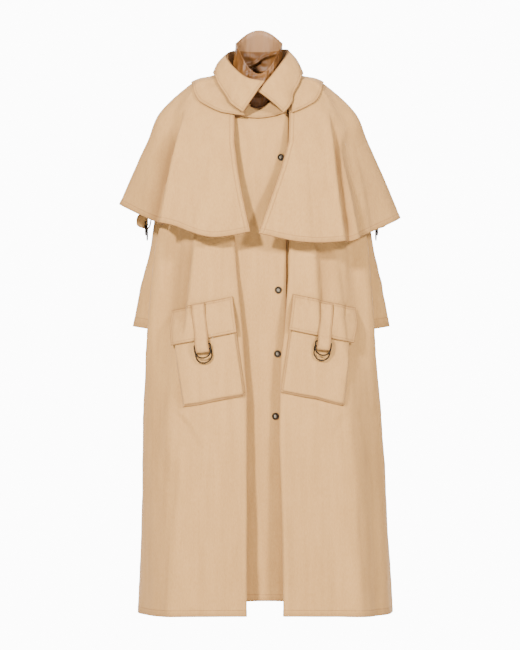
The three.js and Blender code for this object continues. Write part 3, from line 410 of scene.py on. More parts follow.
def front_paths(side):
    """The control points of a front panel at many sections, from the side seam to its inner edge."""
    sections = FRONT_SECTIONS
    edge = side_edge(sections, 1, side)
    z = body(side * 0.7, sections)[..., 2]
    left, right, recess, is_open, placket = (np.interp(z, PLEAT[:, 0], PLEAT[:, k]) for k in range(1, 6))
    fold = left if side < 0 else right
    inwards = -side

    def at_x(x, under=0.0):
        ring = ring_at_x(body, sections, x, -2.3, 2.3)
        return body(ring, sections) + under * inward(body, ring, sections)

    at_fold = at_x(fold)
    panel_y = body(0, sections)[..., 1] + recess
    depth = panel_y - at_fold[:, 1]
    start = ring_at_x(body, sections, fold - inwards * 24, -3, 3)
    points = [body(mix(edge, start, i / 8), sections) for i in range(9)]
    table = PLEAT_PATHS[side]

    def opened(flat, x, y):
        folded = np.stack([x, y, flat[:, 2]], axis=-1)
        return mix(flat, folded, is_open[:, None])

    for reach, share, deep, flat_reach, under in table:
        flat = at_x(fold + inwards * flat_reach, under)
        points.append(opened(flat, fold + inwards * reach, at_fold[:, 1] + share * depth + deep))
    end = placket if side < 0 else fold - UNDERLAP
    begin, begin_flat = fold + inwards * table[-1][0], fold + inwards * table[-1][3]
    for share in (0.25, 0.62, 1):
        flat = at_x(mix(begin_flat, end, share), 0 if side < 0 else UNDERLAP_FLAT)
        points.append(opened(flat, mix(begin, end, share), panel_y + (0 if side < 0 else UNDERLAP_DEPTH)))
    return sections, edge, start, np.stack(points, axis=1)


def front(side):
    sections, edge, start, points = front_paths(side)
    last = points.shape[1] - 1

    def surface(place, down):
        place, down = together(place, down)
        shift = SNAP_PANEL_RISE / HEM_SECTION_LENGTH
        section = down - shift * smooth(11, 13, place) * smooth(10, 13, down)
        ring = mix(np.interp(section, sections, edge), np.interp(section, sections, start), place / 8)
        outer = body(ring, section)
        row = (section - sections[0]) / (sections[1] - sections[0])
        i = np.clip(np.floor(row).astype(int), 0, len(sections) - 2)
        f = (row - i)[..., None, None]
        control = points[i] * (1 - f) + points[i + 1] * f
        k = np.clip(np.floor(place).astype(int), 0, last - 1)
        g = (place - k)[..., None]

        def pick(step):
            places = np.clip(k + step, 0, last)[..., None, None]
            return np.take_along_axis(control, places, axis=-2)[..., 0, :]

        p1, p2 = pick(0), pick(1)
        p3 = np.where((k == last - 1)[..., None], 2 * p2 - p1, pick(2))
        pleated = spline(pick(-1), p1, p2, p3, g)
        return np.where((place < 7)[..., None], outer, pleated)

    return surface


def armhole_edge(side, turn):
    share = np.where(turn < 0.5, turn, 1 - turn)
    section = mix(ARMHOLE_TOP, ARMHOLE_FOOT, 2 * share)
    ring = np.where(turn < 0.5, side_edge(section, 1, side), side_edge(section, 2, side))
    return body(ring, section)


def sleeve(side):
    centre = armhole_edge(side, np.array([0.15, 0.35, 0.65, 0.85])).mean(axis=0)
    rows = np.array(SLEEVE_SECTIONS, float)
    sways = along(SWAY, section_at_height(rows[:, 2]))

    def surface(turn_place, down):
        turn_place, down = together(turn_place, down)
        turn = turn_place - np.floor(turn_place)
        edge = armhole_edge(side, turn)
        rings = [edge + unit(centre - edge) * ARMHOLE_GAP]
        angle = 2 * math.pi * turn
        for (x, y, z, reach, depth, tilt), sway in zip(rows, sways):
            out = reach * np.cos(angle)
            tilt = math.radians(tilt)
            rings.append(np.stack([
                side * (x + out * math.cos(tilt)) + sway,
                y - depth * np.sin(angle),
                z + out * math.sin(tilt),
            ], axis=-1))
        rings = np.stack(rings)
        last = len(rings) - 1
        i = np.clip(np.floor(down).astype(int), 0, last - 1)
        f = (down - i)[..., None]

        def pick(k):
            return np.take_along_axis(rings, np.clip(k, 0, last)[None, ..., None], axis=0)[0]

        p1, p2 = pick(i), pick(i + 1)
        p0 = np.where((i == 0)[..., None], 2 * p1 - p2, pick(i - 1))
        p3 = np.where((i == last - 1)[..., None], 2 * p2 - p1, pick(i + 2))
        return spline(p0, p1, p2, p3, f)

    return surface


# Small folds of the cloth, as waves through space, so that pieces that meet move alike


def wave_field(seed, count, shortest, longest, upright):
    """A sum of waves with wavelengths in mm. upright squeezes them so that the folds run up and down."""
    draw = np.random.default_rng(seed)
    directions = unit(draw.normal(size=(count, 3)) * np.array([1, 1, upright]))
    lengths = np.exp(draw.uniform(math.log(shortest), math.log(longest), count))
    phases = draw.uniform(0, 2 * math.pi, count)

    def field(points):
        total = np.zeros(points.shape[:-1])
        for direction, length, phase in zip(directions, lengths, phases):
            total += np.sin(points @ direction * (2 * math.pi / length) + phase)
        return total / math.sqrt(count)

    return field


long_folds = wave_field(11, 14, 95, 240, 0.16)
soft_creases = wave_field(12, 18, 34, 90, 0.5)
fine_creases = wave_field(13, 20, 12, 28, 0.8)
FINE_HEIGHT = 0.14

# Places where the cloth lies still because a snap or a ring is fixed there: x, z and radius
STILL = [
    (56, -178, 26), (52, -324, 26), (50, -487, 26), (48, -635, 26), (43, -784, 26),
    (-126, -626, 60), (154, -618, 60),
]

FOLD_WANDER = 0.12  # how far a fold strays from its line, as a share of its width
FOLD_WANDER_LENGTH = 41
DARKEST_VALLEY = 22  # the depth of a valley that gets the full painted shade along its fold

# Folds given as straight lines in x and z. Columns: x and z of the upper end, x and z of the
# lower end, side of the valley (-1 is left), height of the ridge, depth of the valley, width of the fold
PUCKERS = [
    (-178, -512, -172, -536, -1, 1.6, 2.4, 4),
    (-160, -508, -156, -530, 1, 1.4, 2.2, 4),
    (-100, -496, -104, -520, 1, 1.2, 2, 4),
    (118, -492, 120, -520, 1, 1.2, 2, 4),
    (186, -506, 182, -532, -1, 1.6, 2.4, 4),
    (212, -512, 206, -540, 1, 1.4, 2.2, 4),
    (-186, -770, -162, -800, -1, 1.6, 2.6, 5),
]
CAPE_FOLDS = [
    (-173, -60, -233, -330, -1, 6, 26, 9),
    (171, -70, 206, -370, 1, 6, 20, 9),
    (-118, -150, -146, -345, -1, 1.6, 2.2, 16),
    (110, -160, 128, -372, 1, 1.6, 2.4, 17),
    (-60, -180, -62, -350, 1, 1.2, 1.6, 14),
    (236, -170, 268, -350, 1, 2, 3.5, 15),
    (-255, -190, -272, -310, -1, 1.5, 2, 14),
]
BODY_FOLDS = [
    (-146, -330, -166, -560, -1, 5, 15, 14),
    (-92, -350, -100, -520, 1, 1.6, 2.4, 18),
    (-190, -420, -214, -900, -1, 1.6, 2.6, 22),
    (-172, -775, -128, -850, -1, 1.6, 2.6, 9),
    (-84, -760, -96, -1230, 1, 2.4, 3.6, 30),
    (-176, -850, -214, -1250, -1, 2.2, 3.2, 28),
    (-140, -900, -150, -1250, 1, 1.4, 2, 24),
    (136, -345, 146, -560, 1, 4, 12, 15),
    (186, -400, 214, -640, 1, 3, 5, 17),
    (216, -640, 246, -1240, 1, 2, 3.4, 26),
    (118, -760, 124, -1240, -1, 2.2, 3.4, 30),
    (176, -800, 190, -1250, -1, 1.8, 2.8, 26),
    (196, -770, 176, -820, 1, 1.2, 1.8, 8),
]
BACK_FOLDS = [
    (-150, -330, -190, -1250, -1, 3, 4, 30),
    (140, -330, 196, -1250, 1, 3, 4, 30),
    (-78, -500, -96, -1250, 1, 2.4, 3.4, 34),
    (90, -460, 104, -1250, -1, 2.4, 3.4, 34),
    (-20, -420, -26, -1250, -1, 1.8, 2.8, 30),
]
BACK_CAPE_FOLDS = [
    (-150, -90, -196, -345, -1, 3, 5, 18),
    (150, -90, 190, -345, 1, 3, 5, 18),
    (-64, -120, -82, -345, -1, 2, 3, 20),
    (54, -110, 72, -345, 1, 2, 3, 20),
]


def beside_fold(points, x0, z0, x1, z1, side, width):
    """How far down a fold's line points lie, as a share, and how far off its slightly wavering line in mm."""
    x, z = points[..., 0], points[..., 2]
    share = (z - z0) / (z1 - z0)
    wander = FOLD_WANDER * width * np.sin(z / FOLD_WANDER_LENGTH + x0)
    return share, (x - mix(x0, x1, share)) * side + wander


def folded(points, folds):
    """The relief of listed folds, in mm. Each has a soft ridge with a steeper valley beside it."""
    total = np.zeros(points.shape[:-1])
    for *line, side, ridge, valley, width in folds:
        share, off = beside_fold(points, *line, side, width)
        ends = smooth(-0.05, 0.3, share) * (1 - smooth(0.85, 1.3, share))
        rise = ridge * np.exp(-(((off + 0.4 * width) / (1.3 * width)) ** 2))
        past = off - 0.5 * width
        dip = valley * np.exp(-((past / np.where(past < 0, 0.42 * width, 2.6 * width)) ** 2))
        total += ends * (rise - dip)
    return total


def fold_painted_shade(folds):
    """Painted shade in the creases of listed folds, standing in for their shadow, as a function of points."""
    def crease_shade(points):
        total = np.zeros(points.shape[:-1])
        for *line, side, _, valley, width in folds:
            share, off = beside_fold(points, *line, side, width)
            ends = smooth(0.05, 0.4, share) * (1 - smooth(0.9, 1.1, share))
            past = off - 0.3 * width
            dark = np.exp(-((past / np.where(past < 0, 0.2 * width, 2.5 * width)) ** 2))
            total += PAINTED_SHADE["fold"] * (valley / DARKEST_VALLEY) ** 1.2 * ends * dark
        return total * smooth(10, 40, -points[..., 1])

    return crease_shade


def body_relief(points):
    """How far the body's cloth stands out at points, in mm."""
    z = points[..., 2]
    below = smooth(-120, -330, z)
    for still_x, still_z, radius in STILL:
        away = ((points[..., 0] - still_x) ** 2 + (z - still_z) ** 2) / radius**2
        below = below * np.where(points[..., 1] < 0, 1 - np.exp(-(away**2)), 1)
    front_folds = folded(points, BODY_FOLDS) + folded(points, PUCKERS)
    creases = np.where(points[..., 1] < 0, front_folds, folded(points, BACK_FOLDS))
    creases = creases * smooth(10, 60, np.abs(points[..., 1]))
    waves = 1.9 * long_folds(points) + 0.7 * soft_creases(points)
    return below * (waves + creases) + FINE_HEIGHT * fine_creases(points)


def front_relief(side):
    """The front's folds, with its pleat edge kept straight and the recessed panel nearly smooth."""
    def relief(points):
        fold = np.interp(points[..., 2], PLEAT[:, 0], PLEAT[:, 1 if side < 0 else 2])
        outside = (points[..., 0] - fold) * side
        still = smooth(3, 34, outside) + 0.3 * smooth(3, 20, -outside)
        return still * body_relief(points)

    return relief


# Meshes


def mesh_object(name, points, faces, uvs=None, material=None, painted_shade=None):
    """points in mm, faces as quads or triangles, and the painted shade that darkens the cloth at each point.
    """
    mesh = bpy.data.meshes.new(name)
    faces = np.asarray(faces)
    size = faces.shape[1]
    mesh.vertices.add(len(points))
    mesh.vertices.foreach_set("co", (np.asarray(points, float) * MM).astype(np.float32).ravel())
    mesh.loops.add(faces.size)
    mesh.loops.foreach_set("vertex_index", faces.astype(np.int32).ravel())
    mesh.polygons.add(len(faces))
    mesh.polygons.foreach_set("loop_start", np.arange(0, faces.size, size, dtype=np.int32))
    mesh.polygons.foreach_set("use_smooth", np.ones(len(faces), bool))
    if uvs is not None:
        layer = mesh.uv_layers.new(name="cloth")
        layer.data.foreach_set("uv", (np.asarray(uvs) * MM)[faces.ravel()].astype(np.float32).ravel())
    if painted_shade is not None:
        mesh.attributes.new("painted_shade", "FLOAT", "POINT").data.foreach_set("value", painted_shade.astype(np.float32))
    mesh.update(calc_edges=True)
    mesh.validate()
    made = bpy.data.objects.new(name, mesh)
    bpy.context.scene.collection.objects.link(made)
    if material:
        mesh.materials.append(material)
    return made


def grid_normals(grid, wrap):
    if wrap:
        across = np.roll(grid, -1, axis=1) - np.roll(grid, 1, axis=1)
    else:
        across = np.gradient(grid, axis=1)
    down = np.gradient(grid, axis=0)
    return unit(np.cross(across, down))


def distances(grid, axis):
    """How far each point of a grid lies from the first along an axis."""
    step = np.linalg.norm(np.diff(grid, axis=axis), axis=-1)
    return np.insert(np.cumsum(step, axis=axis), 0, 0, axis=axis)


def read_off(places, run, values):
    """Points or normals read off at places along a run."""
    return np.stack([np.interp(places, run, values[:, c]) for c in range(3)], axis=-1)


def resample(grid, spacing, first=(0,), last=(0,), axis=0):
    """Points set evenly along an axis, with lines at stated distances from its two ends."""
    lines = np.moveaxis(grid, axis, 0)
    run = np.moveaxis(distances(grid, axis), axis, 0)
    total = run[-1]
    inner = max(2, int(round((total.mean() - first[-1] - last[-1]) / spacing)) + 1)
    shares = np.linspace(0, 1, inner)
    result = np.empty((len(first) + len(last) + inner - 2, lines.shape[1], 3))
    for k in range(lines.shape[1]):
        squeeze = min(1.0, total[k] / (1.2 * (first[-1] + last[-1]) + 1e-6))
        begin, end = first[-1] * squeeze, total[k] - last[-1] * squeeze
        foremost = np.array(first[:-1]) * squeeze
        hindmost = total[k] - np.array(last[:-1])[::-1] * squeeze
        places = np.concatenate([foremost, mix(begin, end, shares), hindmost])
        result[:, k] = read_off(places, run[:, k], lines[:, k])
    return np.moveaxis(result, 0, axis)


def shell(name, grid, thickness, material, outward, wrap, painted_shade):
    """A thin closed cloth with round edges. outward is the sign that turns normals out of the coat."""
    rows, columns = grid.shape[:2]
    count = rows * columns
    half = thickness / 2
    normals = grid_normals(grid, wrap) * outward
    outer, inner, middle = (
        layer.reshape(-1, 3) for layer in (grid, grid - normals * thickness, grid - normals * half))
    flat_painted_shade = painted_shade.ravel()
    painted_shade_layers = [flat_painted_shade, flat_painted_shade]
    layers = [outer, inner]
    index = np.arange(count).reshape(rows, columns)
    wide = np.concatenate([index, index[:, :1]], axis=1) if wrap else index
    quads = np.stack([wide[:-1, :-1], wide[:-1, 1:], wide[1:, 1:], wide[1:, :-1]], axis=-1).reshape(-1, 4)
    faces = [quads, quads[:, ::-1] + count]
    uv_across = distances(grid, 1).mean(axis=0)
    uv_down = distances(grid, 0).mean(axis=1)
    uv = np.stack(np.meshgrid(uv_across, uv_down), axis=-1).reshape(-1, 2)
    uvs = [uv, uv]
    if wrap:
        rims = [(index[0], index[1], False), (index[-1], index[-2], True)]
    else:
        rim = np.concatenate([index[0], index[1:, -1], index[-1, -2::-1], index[-2:0:-1, 0]])
        beside = index[np.clip(rim // columns, 1, rows - 2), np.clip(rim % columns, 1, columns - 2)]
        rims = [(rim, beside, False)]
    for rim, beside, turned in rims:
        numbers = sum(len(layer) for layer in layers) + np.arange(len(rim))
        layers.append(middle[rim] + unit(outer[rim] - outer[beside]) * half * RIM_BULGE)
        painted_shade_layers.append(flat_painted_shade[rim])
        uvs.append(uv[rim])
        for a, b in ((numbers, rim), (rim + count, numbers)):
            if turned:
                a, b = b, a
            faces.append(np.stack([a, np.roll(a, -1), np.roll(b, -1), b], axis=-1))
    points = np.concatenate(layers)
    faces = np.concatenate(faces)
    corners = points[faces]
    volume = np.einsum("ij,ij->", np.cross(corners[:, 0], corners[:, 1]), corners[:, 2])
    volume += np.einsum("ij,ij->", np.cross(corners[:, 0], corners[:, 2]), corners[:, 3])
    if volume < 0:  # the faces look inwards
        faces = faces[:, ::-1]
    return mesh_object(name, points, faces, np.concatenate(uvs), material, np.concatenate(painted_shade_layers))


THREAD = {"pitch": 3.6, "length": 2.8, "width": 0.8, "height": 0.5, "proud": 0.1, "tip_depth": 0.15}
STITCH_GROOVE = {"depth": 0.6, "width": 1.5}
HEM = {"rise": 0.6, "slope": 0.8}
# Painted shade in the cloth's colour: how strong it is at edges, beside stitches and in fold creases,
# standing in for contact shadow and the shadow in creases, and how wide it spreads in mm
PAINTED_SHADE = {"edge": 0.8, "edge_width": 1.25, "stitch": 0.32, "stitch_width": 1.2, "fold": 0.5}


def line_in_grid(grid, border, distance, values):
    """The values of a grid along the line at a distance from one of its borders."""
    axis = 0 if border in ("top", "bottom") else 1
    lines, kept = np.moveaxis(grid, axis, 0), np.moveaxis(values, axis, 0)
    if border in ("bottom", "right"):
        lines, kept = lines[::-1], kept[::-1]
    run = distances(lines, 0)
    return np.stack([read_off(distance, run[:, k], kept[:, k]) for k in range(lines.shape[1])])


def stitched(name, rows, material):
    """One mesh of the stitches along rows of (points, outward normals). Each is a small pointed bar."""
    pattern = np.array([
        (0, 3, 2), (0, 4, 3), (0, 5, 4), (0, 2, 5), (1, 2, 3), (1, 3, 4), (1, 4, 5), (1, 5, 2)])
    points, faces = [], []
    base = 0
    for line, normals in rows:
        run = distances(line, 0)
        places = np.arange(THREAD["pitch"], run[-1] - THREAD["pitch"], THREAD["pitch"])
        if not len(places):
            continue
        middle = read_off(places, run, line)
        normal = unit(read_off(places, run, normals))
        ahead = unit(read_off(places + 0.5, run, line) - read_off(places - 0.5, run, line))
        sideways = np.cross(normal, ahead)
        middle = middle + normal * THREAD["proud"]
        sunk = normal * THREAD["tip_depth"]
        tips = [middle + ahead * sign * THREAD["length"] / 2 - sunk for sign in (-1, 1)]
        ring = [middle + sideways * THREAD["width"] / 2, middle + normal * THREAD["height"] / 2,
                middle - sideways * THREAD["width"] / 2, middle - normal * THREAD["height"] / 2]
        cells = np.stack([*tips, *ring], axis=1)
        numbers = base + 6 * np.arange(len(places))[:, None, None] + pattern[None]
        points.append(cells.reshape(-1, 3))
        faces.append(numbers.reshape(-1, 3))
        base += 6 * len(places)
    made = mesh_object(name, np.concatenate(points), np.concatenate(faces), None, material)
    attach(made, "coat")
    return made


# Materials


def node_material(name):
    """A new material, its node tree and its shader."""
    material = bpy.data.materials.new(name)
    material.use_nodes = True
    return material, material.node_tree, material.node_tree.nodes["Principled BSDF"]


def feed(tree, node, inputs):
    """Links inputs of a node to sockets, and sets the others to plain values."""
    for name, value in inputs.items():
        if isinstance(value, bpy.types.NodeSocket):
            tree.links.new(value, node.inputs[name])
        else:
            node.inputs[name].default_value = value


def add_node(tree, kind, inputs, **settings):
    node = tree.nodes.new("ShaderNode" + kind)
    for name, value in settings.items():
        setattr(node, name, value)
    feed(tree, node, inputs)
    return node


def places_on(tree, kind):
    """Where a point lies: on the cloth (UV), in the frame (Object) or in its piece's box (Generated)."""
    return add_node(tree, "TexCoord", {}).outputs[kind]


def ramp_colour(tree, factor, stops):
    ramp = add_node(tree, "ValToRGB", {"Fac": factor})
    elements = ramp.color_ramp.elements
    while len(elements) < len(stops):
        elements.new(0.5)
    for element, (place, colour) in zip(elements, stops):
        element.position = place
        element.color = (*colour, 1)
    return ramp.outputs["Color"]


def grey_ramp(tree, factor, stops):
    return ramp_colour(tree, factor, [(place, (grey, grey, grey)) for place, grey in stops])


def mixed(tree, factor, a, b, **settings):
    inputs = {"Factor": factor, "A": a, "B": b}
    return add_node(tree, "Mix", inputs, **{"data_type": "RGBA", **settings}).outputs["Result"]


def noise_at(tree, coordinates, scale, detail, rough, squeeze=(1, 1, 1)):
    mapping = add_node(tree, "Mapping", {"Scale": squeeze, "Vector": coordinates})
    inputs = {"Scale": scale, "Detail": detail, "Roughness": rough, "Vector": mapping.outputs["Vector"]}
    return add_node(tree, "TexNoise", inputs).outputs["Fac"]


def bumped(tree, height, strength, distance, before=None):
    inputs = {"Strength": strength, "Distance": distance, "Height": height}
    if before:
        inputs["Normal"] = before
    return add_node(tree, "Bump", inputs).outputs["Normal"]


SAND_DARK = (0.325, 0.168, 0.05)
SAND = (0.355, 0.186, 0.058)
SAND_LIGHT = (0.385, 0.205, 0.067)
PAINTED_SHADE_TINT = (0.34, 0.27, 0.22)  # what is left of the dark sand colour where the painted shade is full


def gabardine(name, dark, middle, light):
    """Cotton twill with slubs, faint upright streaking of grain and painted wrinkle shade, and painted shade
    at edges, stitches and fold creases, read from the mesh.
    """
    material, tree, shader = node_material(name)
    cloth = places_on(tree, "UV")
    place = places_on(tree, "Object")
    slubs = noise_at(tree, cloth, 420, 2, 0.5, (1, 0.28, 1))
    blend = mixed(tree, 0.68, noise_at(tree, place, 14, 5, 0.6), slubs, data_type="FLOAT")
    sand = ramp_colour(tree, blend, [(0.3, dark), (0.5, middle), (0.72, light)])
    # Faint upright streaking: partly a grain of the twill, partly painted shade standing in for fine upright
    # wrinkles
    grain_and_wrinkle_shade = noise_at(tree, place, 58, 4, 0.6, (1, 1, 0.09))
    grain_and_wrinkle_shade_colour = ramp_colour(tree, grain_and_wrinkle_shade, [(0.35, (0.86, 0.84, 0.81)), (0.62, (1, 1, 1))])
    grain_and_wrinkle_shaded = mixed(tree, 0.6, sand, grain_and_wrinkle_shade_colour, blend_type="MULTIPLY")
    # Painted shade stored on the mesh: contact shadow at edges and stitches and shadow in fold creases, mixed
    # towards a darker sand colour
    painted_shade = add_node(tree, "Attribute", {}, attribute_name="painted_shade").outputs["Fac"]
    painted_shade_colour = (*(part * share for part, share in zip(dark, PAINTED_SHADE_TINT)), 1)
    twill = add_node(
        tree, "TexWave", {"Scale": 260, "Distortion": 1.2, "Detail": 1.5, "Vector": cloth},
        wave_type="BANDS", bands_direction="DIAGONAL")
    weave = bumped(tree, twill.outputs["Fac"], 0.22, 0.0003)
    slub_bump = bumped(tree, slubs, 0.25, 0.0004, weave)
    feed(tree, shader, {
        "Base Color": mixed(tree, painted_shade, grain_and_wrinkle_shaded, painted_shade_colour),
        "Roughness": 0.86,
        "Sheen Weight": 0.05,
        "Sheen Roughness": 0.5,
        "Specular IOR Level": 0.22,
        "Normal": bumped(tree, noise_at(tree, place, 46, 3, 0.5), 0.16, 0.0035, slub_bump),
    })
    return material


SATIN_BAND = (0.085, 0.1)  # the heights in metres between which the darker satin meets the lighter band
SATIN_DARK = (0.06, 0.021, 0.003)
SATIN_BROWN = (0.095, 0.035, 0.006)
SATIN_LIGHT = (0.16, 0.064, 0.013)
SATIN_BAND_COLOUR = (0.2, 0.1, 0.042, 1)


def satin():
    material, tree, shader = node_material("brown_satin")
    place = places_on(tree, "Object")
    shade = noise_at(tree, place, 20, 3, 0.5)
    brown = ramp_colour(tree, shade, [(0.32, SATIN_DARK), (0.5, SATIN_BROWN), (0.7, SATIN_LIGHT)])
    height = add_node(tree, "SeparateXYZ", {"Vector": place}).outputs["Z"]
    bottom, top = SATIN_BAND
    band = add_node(tree, "MapRange", {"From Min": bottom, "From Max": top, "Value": height})
    lower_to_upper = grey_ramp(tree, band.outputs["Result"], [(0.3, 0), (0.42, 0), (0.5, 1)])
    threads = noise_at(tree, places_on(tree, "UV"), 900, 2, 0.5, (1, 0.06, 1))
    feed(tree, shader, {
        "Base Color": mixed(tree, lower_to_upper, brown, SATIN_BAND_COLOUR),
        "Roughness": 0.5,
        "Specular IOR Level": 0.22,
        "Normal": bumped(tree, threads, 0.12, 0.0002),
    })
    return material


def metal(name, dark, light, roughness):
    """Dark metal with worn spots. Returns the colour too, for a look that is built on it."""
    material, tree, shader = node_material(name)
    wear = noise_at(tree, places_on(tree, "Object"), 260, 4, 0.6)
    colour = ramp_colour(tree, wear, [(0.35, dark), (0.68, light)])
    limits = {"To Min": roughness - 0.08, "To Max": roughness + 0.14}
    rough = add_node(tree, "MapRange", {**limits, "Value": wear})
    feed(tree, shader, {
        "Base Color": colour,
        "Metallic": 1,
        "Roughness": rough.outputs["Result"],
        "Normal": bumped(tree, wear, 0.1, 0.0002),
    })
    return material, tree, shader, colour


SNAP_PALE = (0.36, 0.3, 0.22, 1)
# How pale a snap is, by the distance from its middle as a share of its width
SNAP_PALENESS = [(0.0, 1), (0.17, 0.8), (0.25, 0), (0.4, 0.05), (0.46, 0.3)]


def antique_snap():
    """A dark cap with a paler middle and rim, placed by shares of the snap's own box."""
    material, tree, shader, dark = metal("antique_snap", (0.02, 0.015, 0.01), (0.06, 0.045, 0.03), 0.3)
    flat = {"Location": (-0.5, 0, -0.5), "Scale": (1, 0, 1), "Vector": places_on(tree, "Generated")}
    flatten = add_node(tree, "Mapping", flat)
    away = add_node(tree, "VectorMath", {0: flatten.outputs["Vector"]}, operation="LENGTH")
    # Paler at the middle and at the rim, by the distance from the middle
    worn = grey_ramp(tree, away.outputs["Value"], SNAP_PALENESS)
    feed(tree, shader, {"Base Color": mixed(tree, worn, dark, SNAP_PALE)})
    return material


CLOTH_LOOK = gabardine("sand_gabardine", SAND_DARK, SAND, SAND_LIGHT)
THREAD_LOOK = gabardine("sand_thread", (0.13, 0.06, 0.02), (0.17, 0.08, 0.028), (0.21, 0.1, 0.037))
SATIN_LOOK = satin()
GUNMETAL_LOOK = metal("dark_gunmetal", (0.012, 0.009, 0.006), (0.05, 0.036, 0.024), 0.36)[0]
SNAP_LOOK = antique_snap()

# Cloth pieces


def from_border(grid, border):
    """How far each point of a grid lies from one of its borders."""
    axis = 0 if border in ("top", "bottom") else 1
    run = distances(grid, axis)
    if border in ("bottom", "right"):
        run = (run[-1:] - run) if axis == 0 else (run[:, -1:] - run)
    return run


def painted_edge_shade(grid, stitch, edges):
    """Painted shade along the cloth's edges and its stitching, standing in for contact shadow, from 0 to 1.
    """
    painted_shade = np.zeros(grid.shape[:2])
    for border in edges:
        away = from_border(grid, border) / PAINTED_SHADE["edge_width"]
        painted_shade = np.maximum(painted_shade, PAINTED_SHADE["edge"] * np.exp(-(away**2)))
    for border, distance in stitch:
        away = (from_border(grid, border) - distance) / PAINTED_SHADE["stitch_width"]
        painted_shade = np.maximum(painted_shade, PAINTED_SHADE["stitch"] * np.exp(-(away**2)))
    return painted_shade


def banded(grid, bands, stitch):
    """Relief of turned-in hems and of the grooves that stitches pull into the cloth, in mm."""
    relief = np.zeros(grid.shape[:2])
    for border, width in bands.items():
        past = smooth(width - HEM["slope"], width + HEM["slope"], from_border(grid, border))
        relief = np.maximum(relief, HEM["rise"] * (1 - past))
    for border, distance in stitch:
        away = (from_border(grid, border) - distance) / STITCH_GROOVE["width"]
        relief = relief - STITCH_GROOVE["depth"] * np.exp(-(away**2))
    return relief


ROWS_FINE = np.linspace(0, HEM_SECTION, 261)

# Lines of the mesh beside an edge, a hem's inner border and a row of stitches, in mm
EDGE_LINE = 1.2
HEM_LINES = (-0.9, 0.9, 6)
STITCH_LINES = (-1.6, 0, 1.6, 4)
CLOSEST_LINES = 0.7


def cloth_piece(name, raw, spacing, outward, bands=None,
                stitch=(), relief=None, wrap=False, thickness=CLOTH, look=CLOTH_LOOK,
                extra_lines=(), edges=("top", "bottom", "left", "right"), crease_shade=None):
    """spacing is between the mesh's lines, and extra_lines lie that far from every border. bands gives
    each hem's width, and stitch the distance of each row of stitches from a border.
    """
    bands = bands or {}
    edges = ("top", "bottom") if wrap else edges

    def ends(border):
        """How far from a border the mesh has lines of its own."""
        width = bands.get(border)
        lines = {0, EDGE_LINE} | ({width + step for step in HEM_LINES} if width else set())
        for named, distance in stitch:
            if named == border:
                lines |= {distance + step for step in STITCH_LINES}
        kept = []
        for line in sorted(lines | set(extra_lines)):
            if not kept or line - kept[-1] > CLOSEST_LINES:
                kept.append(line)
        return tuple(kept)

    grid = resample(raw, spacing, ends("top"), ends("bottom"), axis=0)
    if wrap:
        closed = np.concatenate([grid, grid[:, :1]], axis=1)
        grid = resample(closed, spacing, (0,), (0,), axis=1)[:, :-1]
    else:
        grid = resample(grid, spacing, ends("left"), ends("right"), axis=1)
    total = banded(grid, bands, stitch)
    if relief is not None:
        total = total + relief(grid)
    normals = grid_normals(grid, wrap)
    grid = grid + normals * outward * total[..., None]
    # Painted shade: contact shadow along the edges and stitches, and shadow in the creases of folds
    painted_shade = painted_edge_shade(grid, stitch, edges)
    if crease_shade:
        painted_shade = painted_shade + crease_shade(grid)
    made = shell(name, grid, thickness, look, outward, wrap, painted_shade)
    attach(made, "coat")
    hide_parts(name.replace("cloth_", ""))
    if stitch:
        if wrap:
            grid = np.concatenate([grid, grid[:, :1]], axis=1)
        normals = grid_normals(grid, False) * outward
        rows = [
            (line_in_grid(grid, border, distance, grid), unit(line_in_grid(grid, border, distance, normals)))
            for border, distance in stitch]
        stitched(name.replace("cloth_", "stitches_"), rows, THREAD_LOOK)


def sampled(surface, us, vs):
    """A raw grid: rows along v, columns along u."""
    u, v = np.meshgrid(us, vs)
    return surface(u, v)


def back_surface(across, section):
    left = side_edge(section, 2, -1) + 2 * HALF_RING
    right = side_edge(section, 2, 1)
    return body(mix(left, right, across), section)


SIDES = ((-1, "left"), (1, "right"))

cloth_piece(
    "cloth_back", sampled(back_surface, np.linspace(0, 1, 121), ROWS_FINE), spacing=7.0,
    bands={"bottom": 16}, stitch=[("bottom", 14.5)], relief=body_relief, outward=1,
)
# Places across a front: the panel, its pleat and the snap panel or underlap
FRONT_PLACES = np.unique(np.concatenate([
    np.linspace(0, 8, 65), np.linspace(8, 14, 61), np.linspace(14, 17, 19)]))
for side, name in SIDES:
    cloth_piece(
        f"cloth_front_{name}", sampled(front(side), FRONT_PLACES, ROWS_FINE), spacing=6.0,
        bands={"bottom": 16}, stitch=[("bottom", 14.5)], relief=front_relief(side), outward=side,
        crease_shade=fold_painted_shade(BODY_FOLDS),
    )


def cape_front(side):
    column = 1 if side < 0 else 2

    def surface(across, down):
        across, down = together(across, down)
        near_front = np.full(down.shape, side * 0.4)
        guess = cape_section(near_front, down)
        edge_x = np.interp(cape(near_front, guess)[..., 2], CAPE_EDGES[:, 0], CAPE_EDGES[:, column])
        edge = ring_at_x(cape, guess, edge_x, -2.5, 2.5)
        ring = mix(side * (CAPE_SEAM - CAPE_SEAM_HALF_GAP), edge, across)
        return cape(ring, cape_section(ring, down))

    return surface


def cape_back(across, down):
    inset = CAPE_SEAM + CAPE_SEAM_HALF_GAP
    ring = mix(2 * HALF_RING - inset, inset, across)
    return cape(ring, cape_section(ring, down))


